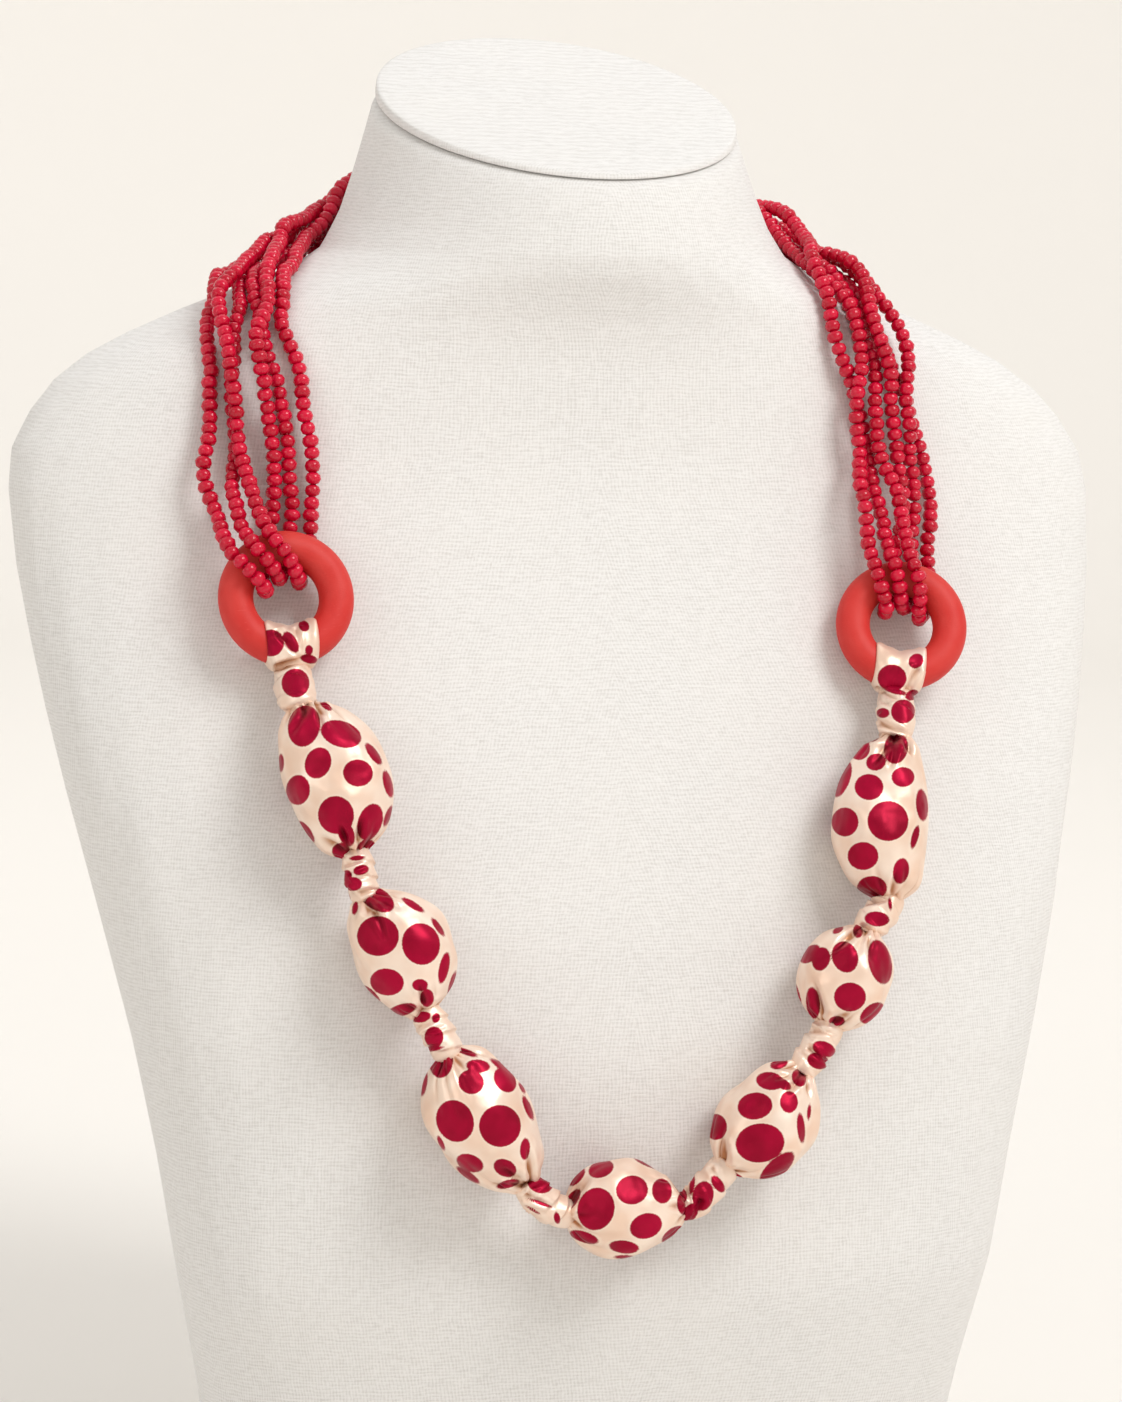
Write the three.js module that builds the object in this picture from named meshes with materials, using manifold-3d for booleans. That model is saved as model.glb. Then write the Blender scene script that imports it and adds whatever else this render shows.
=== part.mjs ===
// A long necklace laid on a neck bust: seven beads covered in spotted satin and knotted apart,
// two round rings, and three closed loops of small glass beads that pass through both rings and
// go round the back of the neck. Millimetres, +Z up, -Y is the front, the origin is at the
// middle of the bust's flat underside.
import * as THREE from 'three';
import Module from 'manifold-3d';
import { mergeVertices } from 'three/addons/utils/BufferGeometryUtils.js';

const wasm = await Module();
wasm.setup();

// The bust
const BUST_HEIGHT = 350; // underside to the middle of the neck cut
const SHOULDER_HALF = 137; // half the width over the shoulders
const CHEST_DEPTH = 88; // from the middle plane to the front of the chest
const BACK_DEPTH = 50; // from the middle plane to the back
const FLARE = 0.44; // how much wider a section grows towards the front of the chest
const NECK_SLANT = 21; // degrees, the neck cut leans towards the front
const NECK_FOOT = 0.89; // share of the height where the neck starts to rise
const CAP_THICKNESS = 3.6; // padded linen cap on the neck cut
const CAP_PROUD = 0.7; // how far its rounded rim stands out over the neck
const CLEARANCE = 0.3; // gap between pieces that touch

// Sections of the bust from the underside up: shares of the height, of the shoulders' half
// width, of the chest's depth and of the back's depth, and how square the section is
const BUST_SECTIONS = [
  { height: 0.000, half: 0.59, front: 0.86, back: 0.96, square: 3.6 },
  { height: 0.171, half: 0.64, front: 1.00, back: 0.96, square: 3.5 },
  { height: 0.343, half: 0.72, front: 0.98, back: 0.96, square: 3.3 },
  { height: 0.514, half: 0.85, front: 0.81, back: 0.94, square: 3.0 },
  { height: 0.614, half: 0.93, front: 0.66, back: 0.92, square: 2.8 },
  { height: 0.686, half: 0.98, front: 0.56, back: 0.88, square: 2.6 },
  { height: 0.749, half: 1.00, front: 0.50, back: 0.86, square: 2.4 },
  { height: 0.786, half: 0.96, front: 0.49, back: 0.86, square: 2.2 },
  { height: 0.814, half: 0.88, front: 0.49, back: 0.88, square: 2.1 },
  { height: 0.846, half: 0.71, front: 0.51, back: 0.92, square: 2.0 },
  { height: 0.891, half: 0.44, front: 0.57, back: 1.00, square: 2.0 },
  { height: 0.957, half: 0.365, front: 0.55, back: 0.96, square: 2.0 },
  { height: 1.000, half: 0.336, front: 0.52, back: 0.92, square: 2.0 },
];

// The rings, and where their middles lie on the chest, in the same shares as the covered beads
const RING_OUTER = 33; // outside diameter
const RING_BAR = 8.5; // diameter of the bar that it is turned from
const RING_TIP = 6; // degrees, its top stands away from the chest, over the strands behind it
const RINGS = {
  left: { at: [-0.598, 0.646], turn: 0 },
  right: { at: [0.534, 0.624], turn: 12 }, // degrees, its outer side stands away from the chest
};

// The covered beads, from the left to the right: where their tied ends lie on the chest, across
// and up as shares of the shoulders' half width and the bust's height, the bead's width, where
// its belly is, the angle and depth of the long crease in the cloth, and the gathers at the ends
const COVERS = [
  {
    place: 'left_top', from: [-0.573, 0.572], to: [-0.494, 0.477],
    width: 25.8, belly: 0.50, crease: 210, dent: 0.9, gathers: 6,
  },
  {
    place: 'left_middle', from: [-0.480, 0.451], to: [-0.386, 0.378],
    width: 23.8, belly: 0.48, crease: 330, dent: 1.0, gathers: 5,
  },
  {
    place: 'left_low', from: [-0.381, 0.355], to: [-0.244, 0.265],
    width: 25.0, belly: 0.50, crease: 40, dent: 1.0, gathers: 6,
  },
  {
    place: 'centre', from: [-0.165, 0.244], to: [0.050, 0.244],
    width: 23.4, belly: 0.47, crease: 300, dent: 0.8, gathers: 6,
  },
  {
    place: 'right_low', from: [0.140, 0.265], to: [0.282, 0.330],
    width: 24.0, belly: 0.50, crease: 120, dent: 0.9, gathers: 5,
  },
  {
    place: 'right_middle', from: [0.319, 0.361], to: [0.398, 0.421],
    width: 23.4, belly: 0.50, crease: 250, dent: 0.9, gathers: 6,
  },
  {
    place: 'right_top', from: [0.427, 0.441], to: [0.467, 0.550],
    width: 24.0, belly: 0.42, crease: 160, dent: 1.1, gathers: 5,
  },
];
const COVER_NECK = 3.9; // radius of the gathered ends
const COVER_FULLNESS = 0.62; // below 1 the cloth swells to its full width sooner
const CREASE_WIDTH = 0.3; // radians to each side
const GATHER_DEPTH = 0.55; // how deep the gathers are cut at the ends

// The knots between them, from the left to the right
const KNOTS = [
  { name: 'knot_left_upper', radius: 4.0 },
  { name: 'knot_left_lower', radius: 4.3 },
  { name: 'knot_centre_left', radius: 4.2 },
  { name: 'knot_centre_right', radius: 4.2 },
  { name: 'knot_right_lower', radius: 4.2 },
  { name: 'knot_right_upper', radius: 4.4 },
];
const KNOT_RIDGE = 0.35; // height of the slanting folds on a knot
const RING_KNOT_RADIUS = 4.8;
const SLEEVE_CLOTH = 1.7; // cloth round the ring's bar
const SLEEVE_SPREAD = 28; // degrees to each side of the ring's lowest point

// The bead strands: three closed loops
const BEAD_DIAMETER = 4.1;
const STRAND_CLEARANCE = 0.8; // between strands
const STRAND_OFF = 0.9; // to the bust and the rings under them
const STRAND_SIDES = 8;
const RUN_STEPS = 31; // steps of the tube along each of a loop's two runs
const WRAP_STEPS = 7; // steps round each ring
const WRAP_DENSITY = 3; // how much closer together those are

const RING_CENTRELINE = (RING_OUTER - RING_BAR) / 2;
// The ring's middle above the chest, so that a strand fits behind its top
const RING_LIFT = 2 * STRAND_OFF + BEAD_DIAMETER + RING_BAR / 2
  - RING_CENTRELINE * Math.sin(THREE.MathUtils.degToRad(RING_TIP));

// Route of the strands' bundle from each ring to the neck, then round the back of the neck:
// across, back and up, near the surface, as shares of the shoulders' half width, the chest's
// depth and the bust's height
const STRAND_ROUTE = {
  left: [
    [-0.613, -0.534, 0.709], [-0.628, -0.489, 0.743], [-0.635, -0.466, 0.771], [-0.642, -0.420, 0.803],
    [-0.628, -0.341, 0.837], [-0.584, -0.114, 0.866], [-0.526, 0.159, 0.886], [-0.438, 0.318, 0.911],
  ],
  back: [
    [-0.336, 0.432, 0.931], [-0.190, 0.568, 0.943], [0, 0.625, 0.946], [0.190, 0.568, 0.943],
    [0.321, 0.432, 0.929],
  ],
  right: [
    [0.547, -0.545, 0.709], [0.555, -0.511, 0.743], [0.555, -0.489, 0.774], [0.536, -0.466, 0.806],
    [0.511, -0.409, 0.837], [0.474, -0.295, 0.866], [0.438, -0.068, 0.889], [0.394, 0.205, 0.911],
  ],
};

// Each strand's place in the bundle at the points above, from the ring up: across it, and off
// the surface. Every loop has a front strand and a back strand on each side.
const STRANDS = {
  left: {
    front: [
      { across: [-15, -13.5, -11.6, -10.5, -9.3, -8.5, -7.5, -6.8], off: [5, 3, 3, 3, 4, 5, 6, 7] },
      { across: [-10, -9.5, -6, -2, -2, -4, -4.5, -4.6], off: [5, 3, 3, 3, 3, 3, 3, 3] },
      { across: [-5.1, -4.9, -4.6, -6, -4.9, -2, -2, -2], off: [6, 5, 7.5, 7.5, 7.5, 8, 8, 8] },
    ],
    back: [
      { across: [5.1, 6, 2.7, 1.8, 4.2, 5.5, 4.2, 3.2], off: [4, 4, 7.5, 7.5, 7.5, 7.5, 7.8, 8] },
      { across: [10, 9.8, 7.6, 5, 2.8, 1, 0.6, 0.3], off: [3, 3, 3, 3, 3, 3, 3, 3] },
      { across: [15, 14.5, 12.5, 11, 8, 6, 5.5, 5.2], off: [3, 3, 3, 3, 3, 3, 3, 3] },
    ],
  },
  right: {
    front: [
      { across: [-4.6, -3.5, -3, -7, -7.5, -7.3, -5.8, -3], off: [6, 3, 3, 3, 3, 6.2, 8, 8] },
      { across: [0.3, -1, -2.5, -1.7, -0.2, 0.6, 0.2, 0], off: [6, 7.5, 7.5, 3, 3, 3, 3, 3] },
      { across: [-11.6, -10, -8, -3.8, -2.6, -2.9, -4.4, -5.2], off: [6, 4, 3.2, 7.5, 7.5, 5.4, 3.4, 3] },
    ],
    back: [
      { across: [6.5, 7, 5.5, 6.7, 7.8, 7.6, 7.2, 7], off: [3, 3, 6.5, 8, 7.2, 6.9, 7, 7] },
      { across: [11.5, 11, 9.5, 4.5, 4.8, 5.1, 4.8, 4.6], off: [3, 3, 3, 3, 3, 3, 3, 3] },
      { across: [2, 3.8, 1.5, 1, 2.3, 2.3, 2, 2], off: [3, 5.5, 10.5, 8.5, 8, 8, 8, 8] },
    ],
  },
};
// Where each loop's strands cross the ring's bar, in degrees round the ring: over it, through
// the hole and behind it
const RING_CROSSINGS = {
  left: [[158, 146, 98], [133, 103, 78], [112, 56, 57]],
  right: [[117, 104, 83], [94, 58, 62], [138, 149, 104]],
};
// The six runs stacked behind the neck: height along the neck and distance off its surface.
// The lower ones join the left front strands to the right back ones, the upper ones the others.
const NECK_STACK = {
  lower: [[-7, 7.2], [-4.6, 3], [-2, 8]],
  upper: [[3, 8], [0.3, 3], [5.2, 3]],
};

const COLOUR = { linen: 0xece7df, ring: 0xd73c34, satin: 0xf7e4cc, bead: 0xcd1937 };
const ROUGHNESS = { linen: 0.9, ring: 0.55, satin: 0.45, bead: 0.25 };

const rad = THREE.MathUtils.degToRad;
const vec = (x, y, z) => new THREE.Vector3(x, y, z);
const mixed = (a, b, t) => a.clone().lerp(b, t);

// A row of a table of sections at one height, with every column eased between its rows
function sectionAt(rows, share) {
  const at = THREE.MathUtils.clamp(share, 0, 1);
  let i = 0;
  while (i < rows.length - 2 && rows[i + 1].height < at) i += 1;
  const slope = (j, key) => {
    if (j <= 0 || j >= rows.length - 1) return 0;
    const before = (rows[j][key] - rows[j - 1][key]) / (rows[j].height - rows[j - 1].height);
    const after = (rows[j + 1][key] - rows[j][key]) / (rows[j + 1].height - rows[j].height);
    return before * after > 0 ? (2 * before * after) / (before + after) : 0;
  };
  const step = rows[i + 1].height - rows[i].height;
  const t = (at - rows[i].height) / step;
  const row = {};
  for (const key of ['half', 'front', 'back', 'square']) {
    const a = rows[i][key];
    const b = rows[i + 1][key];
    row[key] = a * (2 * t ** 3 - 3 * t ** 2 + 1) + b * (3 * t ** 2 - 2 * t ** 3)
      + step * (slope(i, key) * (t ** 3 - 2 * t ** 2 + t) + slope(i + 1, key) * (t ** 3 - t ** 2));
  }
  return row;
}

// How much wider the section is at one distance in front of the middle plane
function flareAt(y, height) {
  const body = THREE.MathUtils.clamp((NECK_FOOT - height) * 6, 0, 1);
  return 1 - FLARE * body * (y / CHEST_DEPTH);
}

// The lean of the neck cut lifts the back of the neck and lowers its front
function slantAt(height) {
  const t = THREE.MathUtils.clamp((height - NECK_FOOT) / (1 - NECK_FOOT), 0, 1);
  return t * Math.tan(rad(NECK_SLANT));
}

// A point of the bust at one height and angle; 270 degrees is the front
function bustPoint(height, angle, proud = 0) {
  const row = sectionAt(BUST_SECTIONS, height);
  const c = Math.cos(angle);
  const s = Math.sin(angle);
  const depth = s < 0 ? row.front * CHEST_DEPTH : row.back * BACK_DEPTH;
  const y = (depth + proud) * Math.sign(s) * Math.abs(s) ** (2 / row.square);
  const half = (row.half * SHOULDER_HALF + proud) * flareAt(y, height);
  const x = half * Math.sign(c) * Math.abs(c) ** (2 / row.square);
  return vec(x, y, height * BUST_HEIGHT + slantAt(height) * y);
}

// 0 on the bust's surface, above 0 outside it and below 0 inside
function bustLevel(p) {
  let height = p.z / BUST_HEIGHT;
  height = (p.z - slantAt(height) * p.y) / BUST_HEIGHT;
  const row = sectionAt(BUST_SECTIONS, height);
  const depth = p.y < 0 ? row.front * CHEST_DEPTH : row.back * BACK_DEPTH;
  const half = row.half * SHOULDER_HALF * flareAt(p.y, height);
  const n = row.square;
  return (Math.abs(p.x / half) ** n + Math.abs(p.y / depth) ** n) ** (1 / n) - 1;
}

// Which way the bust's surface faces at a point near it, and how far off the point is
function bustNormal(p) {
  const e = 0.5;
  const level = bustLevel(p);
  const slope = vec(
    bustLevel(vec(p.x + e, p.y, p.z)) - level,
    bustLevel(vec(p.x, p.y + e, p.z)) - level,
    bustLevel(vec(p.x, p.y, p.z + e)) - level,
  ).divideScalar(e);
  const size = slope.length();
  return { normal: slope.divideScalar(size), distance: level / size };
}

// A point moved along the bust's normal until it lies at one distance from the surface
function settled(p, distance) {
  const out = p.clone();
  for (let i = 0; i < 6; i += 1) {
    const at = bustNormal(out);
    out.addScaledVector(at.normal, distance - at.distance);
  }
  return out;
}

// A point of the chest's surface, at shares of the shoulders' half width and the bust's height
function chestPoint([across, up]) {
  const x = across * SHOULDER_HALF;
  const z = up * BUST_HEIGHT;
  let y = -0.7 * CHEST_DEPTH; // near the surface, where the search starts
  for (let i = 0; i < 12; i += 1) {
    const at = bustNormal(vec(x, y, z));
    y -= at.distance / Math.min(at.normal.y, -0.2);
  }
  return vec(x, y, z);
}

// A closed solid through rings of points, with a flat fan at each end
function loft(rings) {
  const count = rings[0].length;
  const positions = [];
  for (const ring of rings) {
    for (const p of ring) positions.push(p.x, p.y, p.z);
  }
  const middle = (ring) => ring.reduce((sum, p) => sum.add(p), vec(0, 0, 0)).divideScalar(count);
  const first = middle(rings[0]);
  const last = middle(rings[rings.length - 1]);
  positions.push(first.x, first.y, first.z, last.x, last.y, last.z);
  const faces = [];
  for (let i = 0; i < rings.length - 1; i += 1) {
    for (let j = 0; j < count; j += 1) {
      const k = (j + 1) % count;
      const a = i * count;
      const b = a + count;
      faces.push(a + j, a + k, b + k, a + j, b + k, b + j);
    }
  }
  const start = rings.length * count;
  const top = (rings.length - 1) * count;
  for (let j = 0; j < count; j += 1) {
    const k = (j + 1) % count;
    faces.push(start, k, j, start + 1, top + j, top + k);
  }
  const geometry = new THREE.BufferGeometry();
  geometry.setAttribute('position', new THREE.Float32BufferAttribute(positions, 3));
  geometry.setIndex(faces);
  return geometry;
}

// A round tube along a closed ring of points; what its frames turn on the way round is spread
// over all of them, so that the two ends meet
function closedTube(points, radius, sides) {
  const count = points.length;
  const tangents = points.map((p, i) => (
    points[(i + 1) % count].clone().sub(points[(i + count - 1) % count]).normalize()));
  const normals = [vec(0, 0, 1).cross(tangents[0]).normalize()];
  for (let i = 1; i <= count; i += 1) {
    const turn = new THREE.Quaternion().setFromUnitVectors(tangents[i - 1], tangents[i % count]);
    normals.push(normals[i - 1].clone().applyQuaternion(turn));
  }
  const side = tangents[0].clone().cross(normals[0]);
  const twist = Math.atan2(normals[count].dot(side), normals[count].dot(normals[0]));
  const positions = [];
  const faces = [];
  for (let i = 0; i < count; i += 1) {
    const normal = normals[i].clone().applyAxisAngle(tangents[i], (-twist * i) / count);
    const binormal = tangents[i].clone().cross(normal);
    for (let j = 0; j < sides; j += 1) {
      const angle = (2 * Math.PI * j) / sides;
      const p = points[i].clone()
        .addScaledVector(normal, radius * Math.cos(angle))
        .addScaledVector(binormal, radius * Math.sin(angle));
      positions.push(p.x, p.y, p.z);
      const a = i * sides;
      const b = ((i + 1) % count) * sides;
      const k = (j + 1) % sides;
      faces.push(a + j, a + k, b + k, a + j, b + k, b + j);
    }
  }
  const geometry = new THREE.BufferGeometry();
  geometry.setAttribute('position', new THREE.Float32BufferAttribute(positions, 3));
  geometry.setIndex(faces);
  return geometry;
}

// A ring of points round an axis, with a radius that changes with the angle
function ringOfPoints(centre, side, up, count, radiusAt) {
  const points = [];
  for (let j = 0; j < count; j += 1) {
    const angle = (2 * Math.PI * j) / count;
    const radius = radiusAt(angle);
    points.push(centre.clone()
      .addScaledVector(side, radius * Math.cos(angle))
      .addScaledVector(up, radius * Math.sin(angle)));
  }
  return points;
}

function asSolid(geometry) {
  const bare = new THREE.BufferGeometry();
  bare.setAttribute('position', geometry.getAttribute('position'));
  bare.setIndex(geometry.getIndex());
  const merged = mergeVertices(bare, 1e-4);
  return new wasm.Manifold(new wasm.Mesh({
    numProp: 3,
    vertProperties: new Float32Array(merged.getAttribute('position').array),
    triVerts: new Uint32Array(merged.getIndex().array),
  }));
}

function asGeometry(solid) {
  const mesh = solid.getMesh();
  const geometry = new THREE.BufferGeometry();
  geometry.setAttribute('position', new THREE.BufferAttribute(mesh.vertProperties, 3));
  geometry.setIndex(new THREE.BufferAttribute(mesh.triVerts, 1));
  return geometry;
}

const group = new THREE.Group();

function addMesh(name, geometry, color, roughness) {
  const material = new THREE.MeshStandardMaterial({ color, roughness, metalness: 0 });
  geometry.computeVertexNormals();
  const mesh = new THREE.Mesh(geometry, material);
  mesh.name = name;
  group.add(mesh);
  return mesh;
}

// The bust: a lofted body up to the padded cap, and the cap on the slanted neck cut
function buildBust() {
  const around = 40;
  const neckTop = 1 - CAP_THICKNESS / BUST_HEIGHT;
  // Close together over the shoulders, where the surface bends most
  const heights = [0, 0.09, 0.171, 0.26, 0.343, 0.43, 0.514, 0.57, 0.62, 0.67, 0.72, 0.749, 0.775,
    0.795, 0.814, 0.83, 0.846, 0.862, 0.877, 0.891, 0.915, 0.94, 0.965,
    neckTop - CLEARANCE / BUST_HEIGHT];
  const angles = Array.from({ length: around }, (_, j) => (2 * Math.PI * j) / around);
  const body = loft(heights.map((h) => angles.map((a) => bustPoint(h, a))));
  addMesh('bust_body', body, COLOUR.linen, ROUGHNESS.linen);

  const rim = [];
  const steps = 4;
  for (let i = 0; i <= steps; i += 1) {
    const turn = rad(-80 + (160 * i) / steps);
    const proud = CAP_PROUD * Math.cos(turn) - 0.4;
    const height = THREE.MathUtils.lerp(neckTop, 1, 0.5 + 0.5 * Math.sin(turn) / Math.sin(rad(80)));
    rim.push(angles.map((a) => bustPoint(height, a, proud)));
  }
  addMesh('bust_neck_cap', loft(rim), COLOUR.linen, ROUGHNESS.linen);
}

// A covered bead: satin gathered round a ball, from a neck of cloth at one end to the other
function buildCover(spec, start, end) {
  const around = 26;
  const along = 14;
  const axis = end.clone().sub(start);
  const length = axis.length();
  axis.normalize();
  const outward = bustNormal(mixed(start, end, 0.5)).normal;
  const side = outward.clone().cross(axis).normalize();
  const up = axis.clone().cross(side).normalize();
  const belly = spec.width / 2;
  const bend = Math.log(0.5) / Math.log(spec.belly);
  const crease = rad(spec.crease);
  const rings = [];
  for (let i = 0; i <= along; i += 1) {
    const u = 0.5 - 0.5 * Math.cos((Math.PI * i) / along);
    const round = Math.sin(Math.PI * u ** bend);
    const swell = Math.max(round, 0) ** COVER_FULLNESS;
    const ends = (1 - swell) ** 1.2 * Math.min(1, 6 * Math.min(u, 1 - u) + 0.35);
    const centre = start.clone().addScaledVector(axis, u * length);
    rings.push(ringOfPoints(centre, side, up, around, (angle) => {
      const gather = GATHER_DEPTH * ends * Math.cos(spec.gathers * angle + 4 * u);
      const past = angle - crease - 0.5 * u;
      const away = Math.atan2(Math.sin(past), Math.cos(past));
      const dent = spec.dent * Math.exp(-((away / CREASE_WIDTH) ** 2)) * round * (1 - 0.5 * round);
      return COVER_NECK + (belly - COVER_NECK) * swell + gather - dent;
    }));
  }
  return loft(rings);
}

// The covered beads and the knots between them
function buildString() {
  const axes = [];
  for (const spec of COVERS) {
    const lift = spec.width / 2 + CLEARANCE;
    let start = settled(chestPoint(spec.from), lift);
    let end = settled(chestPoint(spec.to), lift);
    // Rest the bead on the chest: the nearest point of its cloth comes to the clearance
    for (let turn = 0; turn < 3; turn += 1) {
      const places = buildCover(spec, start, end).getAttribute('position');
      const outward = bustNormal(mixed(start, end, 0.5)).normal;
      let least = Infinity;
      for (let k = 0; k < places.count; k += 1) {
        least = Math.min(least, bustNormal(vec(places.getX(k), places.getY(k), places.getZ(k))).distance);
      }
      start = start.addScaledVector(outward, CLEARANCE - least);
      end = end.addScaledVector(outward, CLEARANCE - least);
    }
    axes.push({ start, end, direction: end.clone().sub(start).normalize() });
    addMesh(`cover_${spec.place}`, buildCover(spec, start, end), COLOUR.satin, ROUGHNESS.satin);
  }
  KNOTS.forEach((spec, i) => {
    const a = axes[i];
    const b = axes[i + 1];
    const knot = buildKnot(a.end, a.direction, b.start, b.direction, spec.radius);
    addMesh(spec.name, knot, COLOUR.satin, ROUGHNESS.satin);
  });
  return axes;
}

// A smooth path from one piece's end face to the next one's, square to both
function knotPath(from, fromDirection, to, toDirection) {
  const start = from.clone().addScaledVector(fromDirection, CLEARANCE);
  const end = to.clone().addScaledVector(toDirection, -CLEARANCE);
  const reach = start.distanceTo(end) / 3;
  return new THREE.CubicBezierCurve3(
    start,
    start.clone().addScaledVector(fromDirection, reach),
    end.clone().addScaledVector(toDirection, -reach),
    end,
  );
}

// A knot: cloth wound round itself, with slanting folds
function buildKnot(from, fromDirection, to, toDirection, radius) {
  const around = 14;
  const along = 7;
  const path = knotPath(from, fromDirection, to, toDirection);
  const rings = [];
  for (let i = 0; i <= along; i += 1) {
    const u = i / along;
    const centre = path.getPoint(u);
    const axis = path.getTangent(u);
    const outward = bustNormal(centre).normal;
    const side = outward.clone().cross(axis).normalize();
    const up = axis.clone().cross(side).normalize();
    const round = Math.sin(Math.PI * u) ** 0.5;
    rings.push(ringOfPoints(centre, side, up, around, (angle) => (
      radius * (0.84 + 0.14 * round) + KNOT_RIDGE * round * Math.cos(2 * angle - 5 * u))));
  }
  return loft(rings);
}

// The place of a ring above the end of the string that it holds: its middle, the way it faces,
// and its own right and up
function placeRing(spec, tied) {
  const middle = settled(chestPoint(spec.at), RING_LIFT);
  const outward = bustNormal(middle).normal;
  const up = middle.clone().sub(tied);
  up.addScaledVector(outward, -up.dot(outward)).normalize();
  const tipAxis = up.clone().cross(outward).normalize();
  const facing = outward.clone().applyAxisAngle(tipAxis, rad(RING_TIP)).applyAxisAngle(up, rad(-spec.turn));
  const rise = up.clone().addScaledVector(facing, -up.dot(facing)).normalize();
  return { middle, facing, rise, across: rise.clone().cross(facing).normalize() };
}

// A point near a ring: its angle round the ring, and its distance and turn round the bar,
// where a turn of 0 is outside the ring, 90 over its front, 180 in its hole
function ringPoint(ring, angle, distance, turn) {
  const radius = RING_CENTRELINE + distance * Math.cos(rad(turn));
  return ring.middle.clone()
    .addScaledVector(ring.across, radius * Math.cos(rad(angle)))
    .addScaledVector(ring.rise, radius * Math.sin(rad(angle)))
    .addScaledVector(ring.facing, distance * Math.sin(rad(turn)));
}

// A stretch of tube round the ring's bar, or the whole ring
function barTube(ring, radius, fromAngle, toAngle, steps, sides) {
  const rings = [];
  for (let i = 0; i <= steps; i += 1) {
    const angle = THREE.MathUtils.lerp(fromAngle, toAngle, i / steps);
    const points = [];
    for (let j = 0; j < sides; j += 1) {
      points.push(ringPoint(ring, angle, radius, (-360 * j) / sides));
    }
    rings.push(points);
  }
  return rings;
}

function wholeRing(ring, radius, steps, sides) {
  const rings = barTube(ring, radius, 0, 360, steps, sides).slice(0, steps);
  const positions = rings.flat().flatMap((p) => [p.x, p.y, p.z]);
  const faces = [];
  for (let i = 0; i < steps; i += 1) {
    for (let j = 0; j < sides; j += 1) {
      const a = i * sides;
      const b = ((i + 1) % steps) * sides;
      const k = (j + 1) % sides;
      faces.push(a + j, a + k, b + k, a + j, b + k, b + j);
    }
  }
  const geometry = new THREE.BufferGeometry();
  geometry.setAttribute('position', new THREE.Float32BufferAttribute(positions, 3));
  geometry.setIndex(faces);
  return geometry;
}

// The cloth that goes round a ring's bar, and the knot that closes it
function buildRingLoop(name, ring, end, direction) {
  const sleeveRadius = RING_BAR / 2 + CLEARANCE + SLEEVE_CLOTH;
  const bar = barTube(ring, sleeveRadius, -90 - SLEEVE_SPREAD, -90 + SLEEVE_SPREAD, 6, 14);
  const sleeve = asSolid(loft(bar));
  const foot = ringPoint(ring, -90, 0.5, 0);
  const around = 16;
  const along = 8;
  const path = knotPath(end, direction, foot, ring.rise);
  const rings = [];
  for (let i = 0; i <= along; i += 1) {
    const u = i / along;
    const centre = path.getPoint(u);
    const axis = path.getTangent(u);
    const side = ring.facing.clone().cross(axis).normalize();
    const up = axis.clone().cross(side).normalize();
    const round = Math.min(1, 3 * u + 0.3);
    rings.push(ringOfPoints(centre, side, up, around, (angle) => (
      RING_KNOT_RADIUS * (0.8 + 0.2 * round) + KNOT_RIDGE * round * Math.cos(2 * angle - 5 * u))));
  }
  const knot = asSolid(loft(rings));
  const bore = asSolid(wholeRing(ring, RING_BAR / 2 + CLEARANCE, 30, 14));
  addMesh(name, asGeometry(sleeve.add(knot).subtract(bore)), COLOUR.satin, ROUGHNESS.satin);
}

function routePoint([across, back, up]) {
  return vec(across * SHOULDER_HALF, back * CHEST_DEPTH, up * BUST_HEIGHT);
}

// The points that one strand goes through from a ring up to the neck, laid across the bundle
function strandRun(side, layer, index) {
  const route = STRAND_ROUTE[side].map(routePoint);
  const { back } = STRAND_ROUTE;
  const next = routePoint(side === 'left' ? back[0] : back[back.length - 1]);
  const row = STRANDS[side][layer][index];
  return route.map((point, k) => {
    const ahead = k < route.length - 1 ? route[k + 1] : next;
    const behind = k > 0 ? route[k - 1] : route[0];
    const along = ahead.clone().sub(behind).normalize();
    const outward = bustNormal(point).normal;
    const across = along.cross(outward).normalize();
    const place = settled(point, BEAD_DIAMETER).addScaledVector(across, row.across[k]);
    return settled(place, row.off[k]);
  });
}

// The points behind the neck, from the left to the right
function neckRun(stack, index) {
  const [rise, off] = NECK_STACK[stack][index];
  return STRAND_ROUTE.back.map((p) => settled(routePoint(p).add(vec(0, 0, rise)), off));
}

// The half turn of a strand round a ring's bar, from the front through the hole to the back
function ringWrap(ring, side, index) {
  const [front, hole, back] = RING_CROSSINGS[side][index];
  const reach = (RING_BAR + BEAD_DIAMETER) / 2 + STRAND_OFF;
  const turns = [70, 100, 130, 155, 180, 205, 230, 260, 290];
  return turns.map((turn) => {
    const t = (turn - 90) / 90;
    const angle = t < 1 ? front + (hole - front) * t : hole + (back - hole) * (t - 1);
    return ringPoint(ring, angle, reach, turn);
  });
}

// One closed loop: up the left back strand, round the neck, down the right front strand, round
// the right ring, up the right back strand and home by the left front strand
function loopPoints(index, rings) {
  return [
    ...strandRun('left', 'back', index),
    ...neckRun('upper', index),
    ...strandRun('right', 'front', index).reverse(),
    ...ringWrap(rings.right, 'right', index),
    ...strandRun('right', 'back', index),
    ...neckRun('lower', index).reverse(),
    ...strandRun('left', 'front', index).reverse(),
    ...ringWrap(rings.left, 'left', index),
  ];
}

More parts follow.
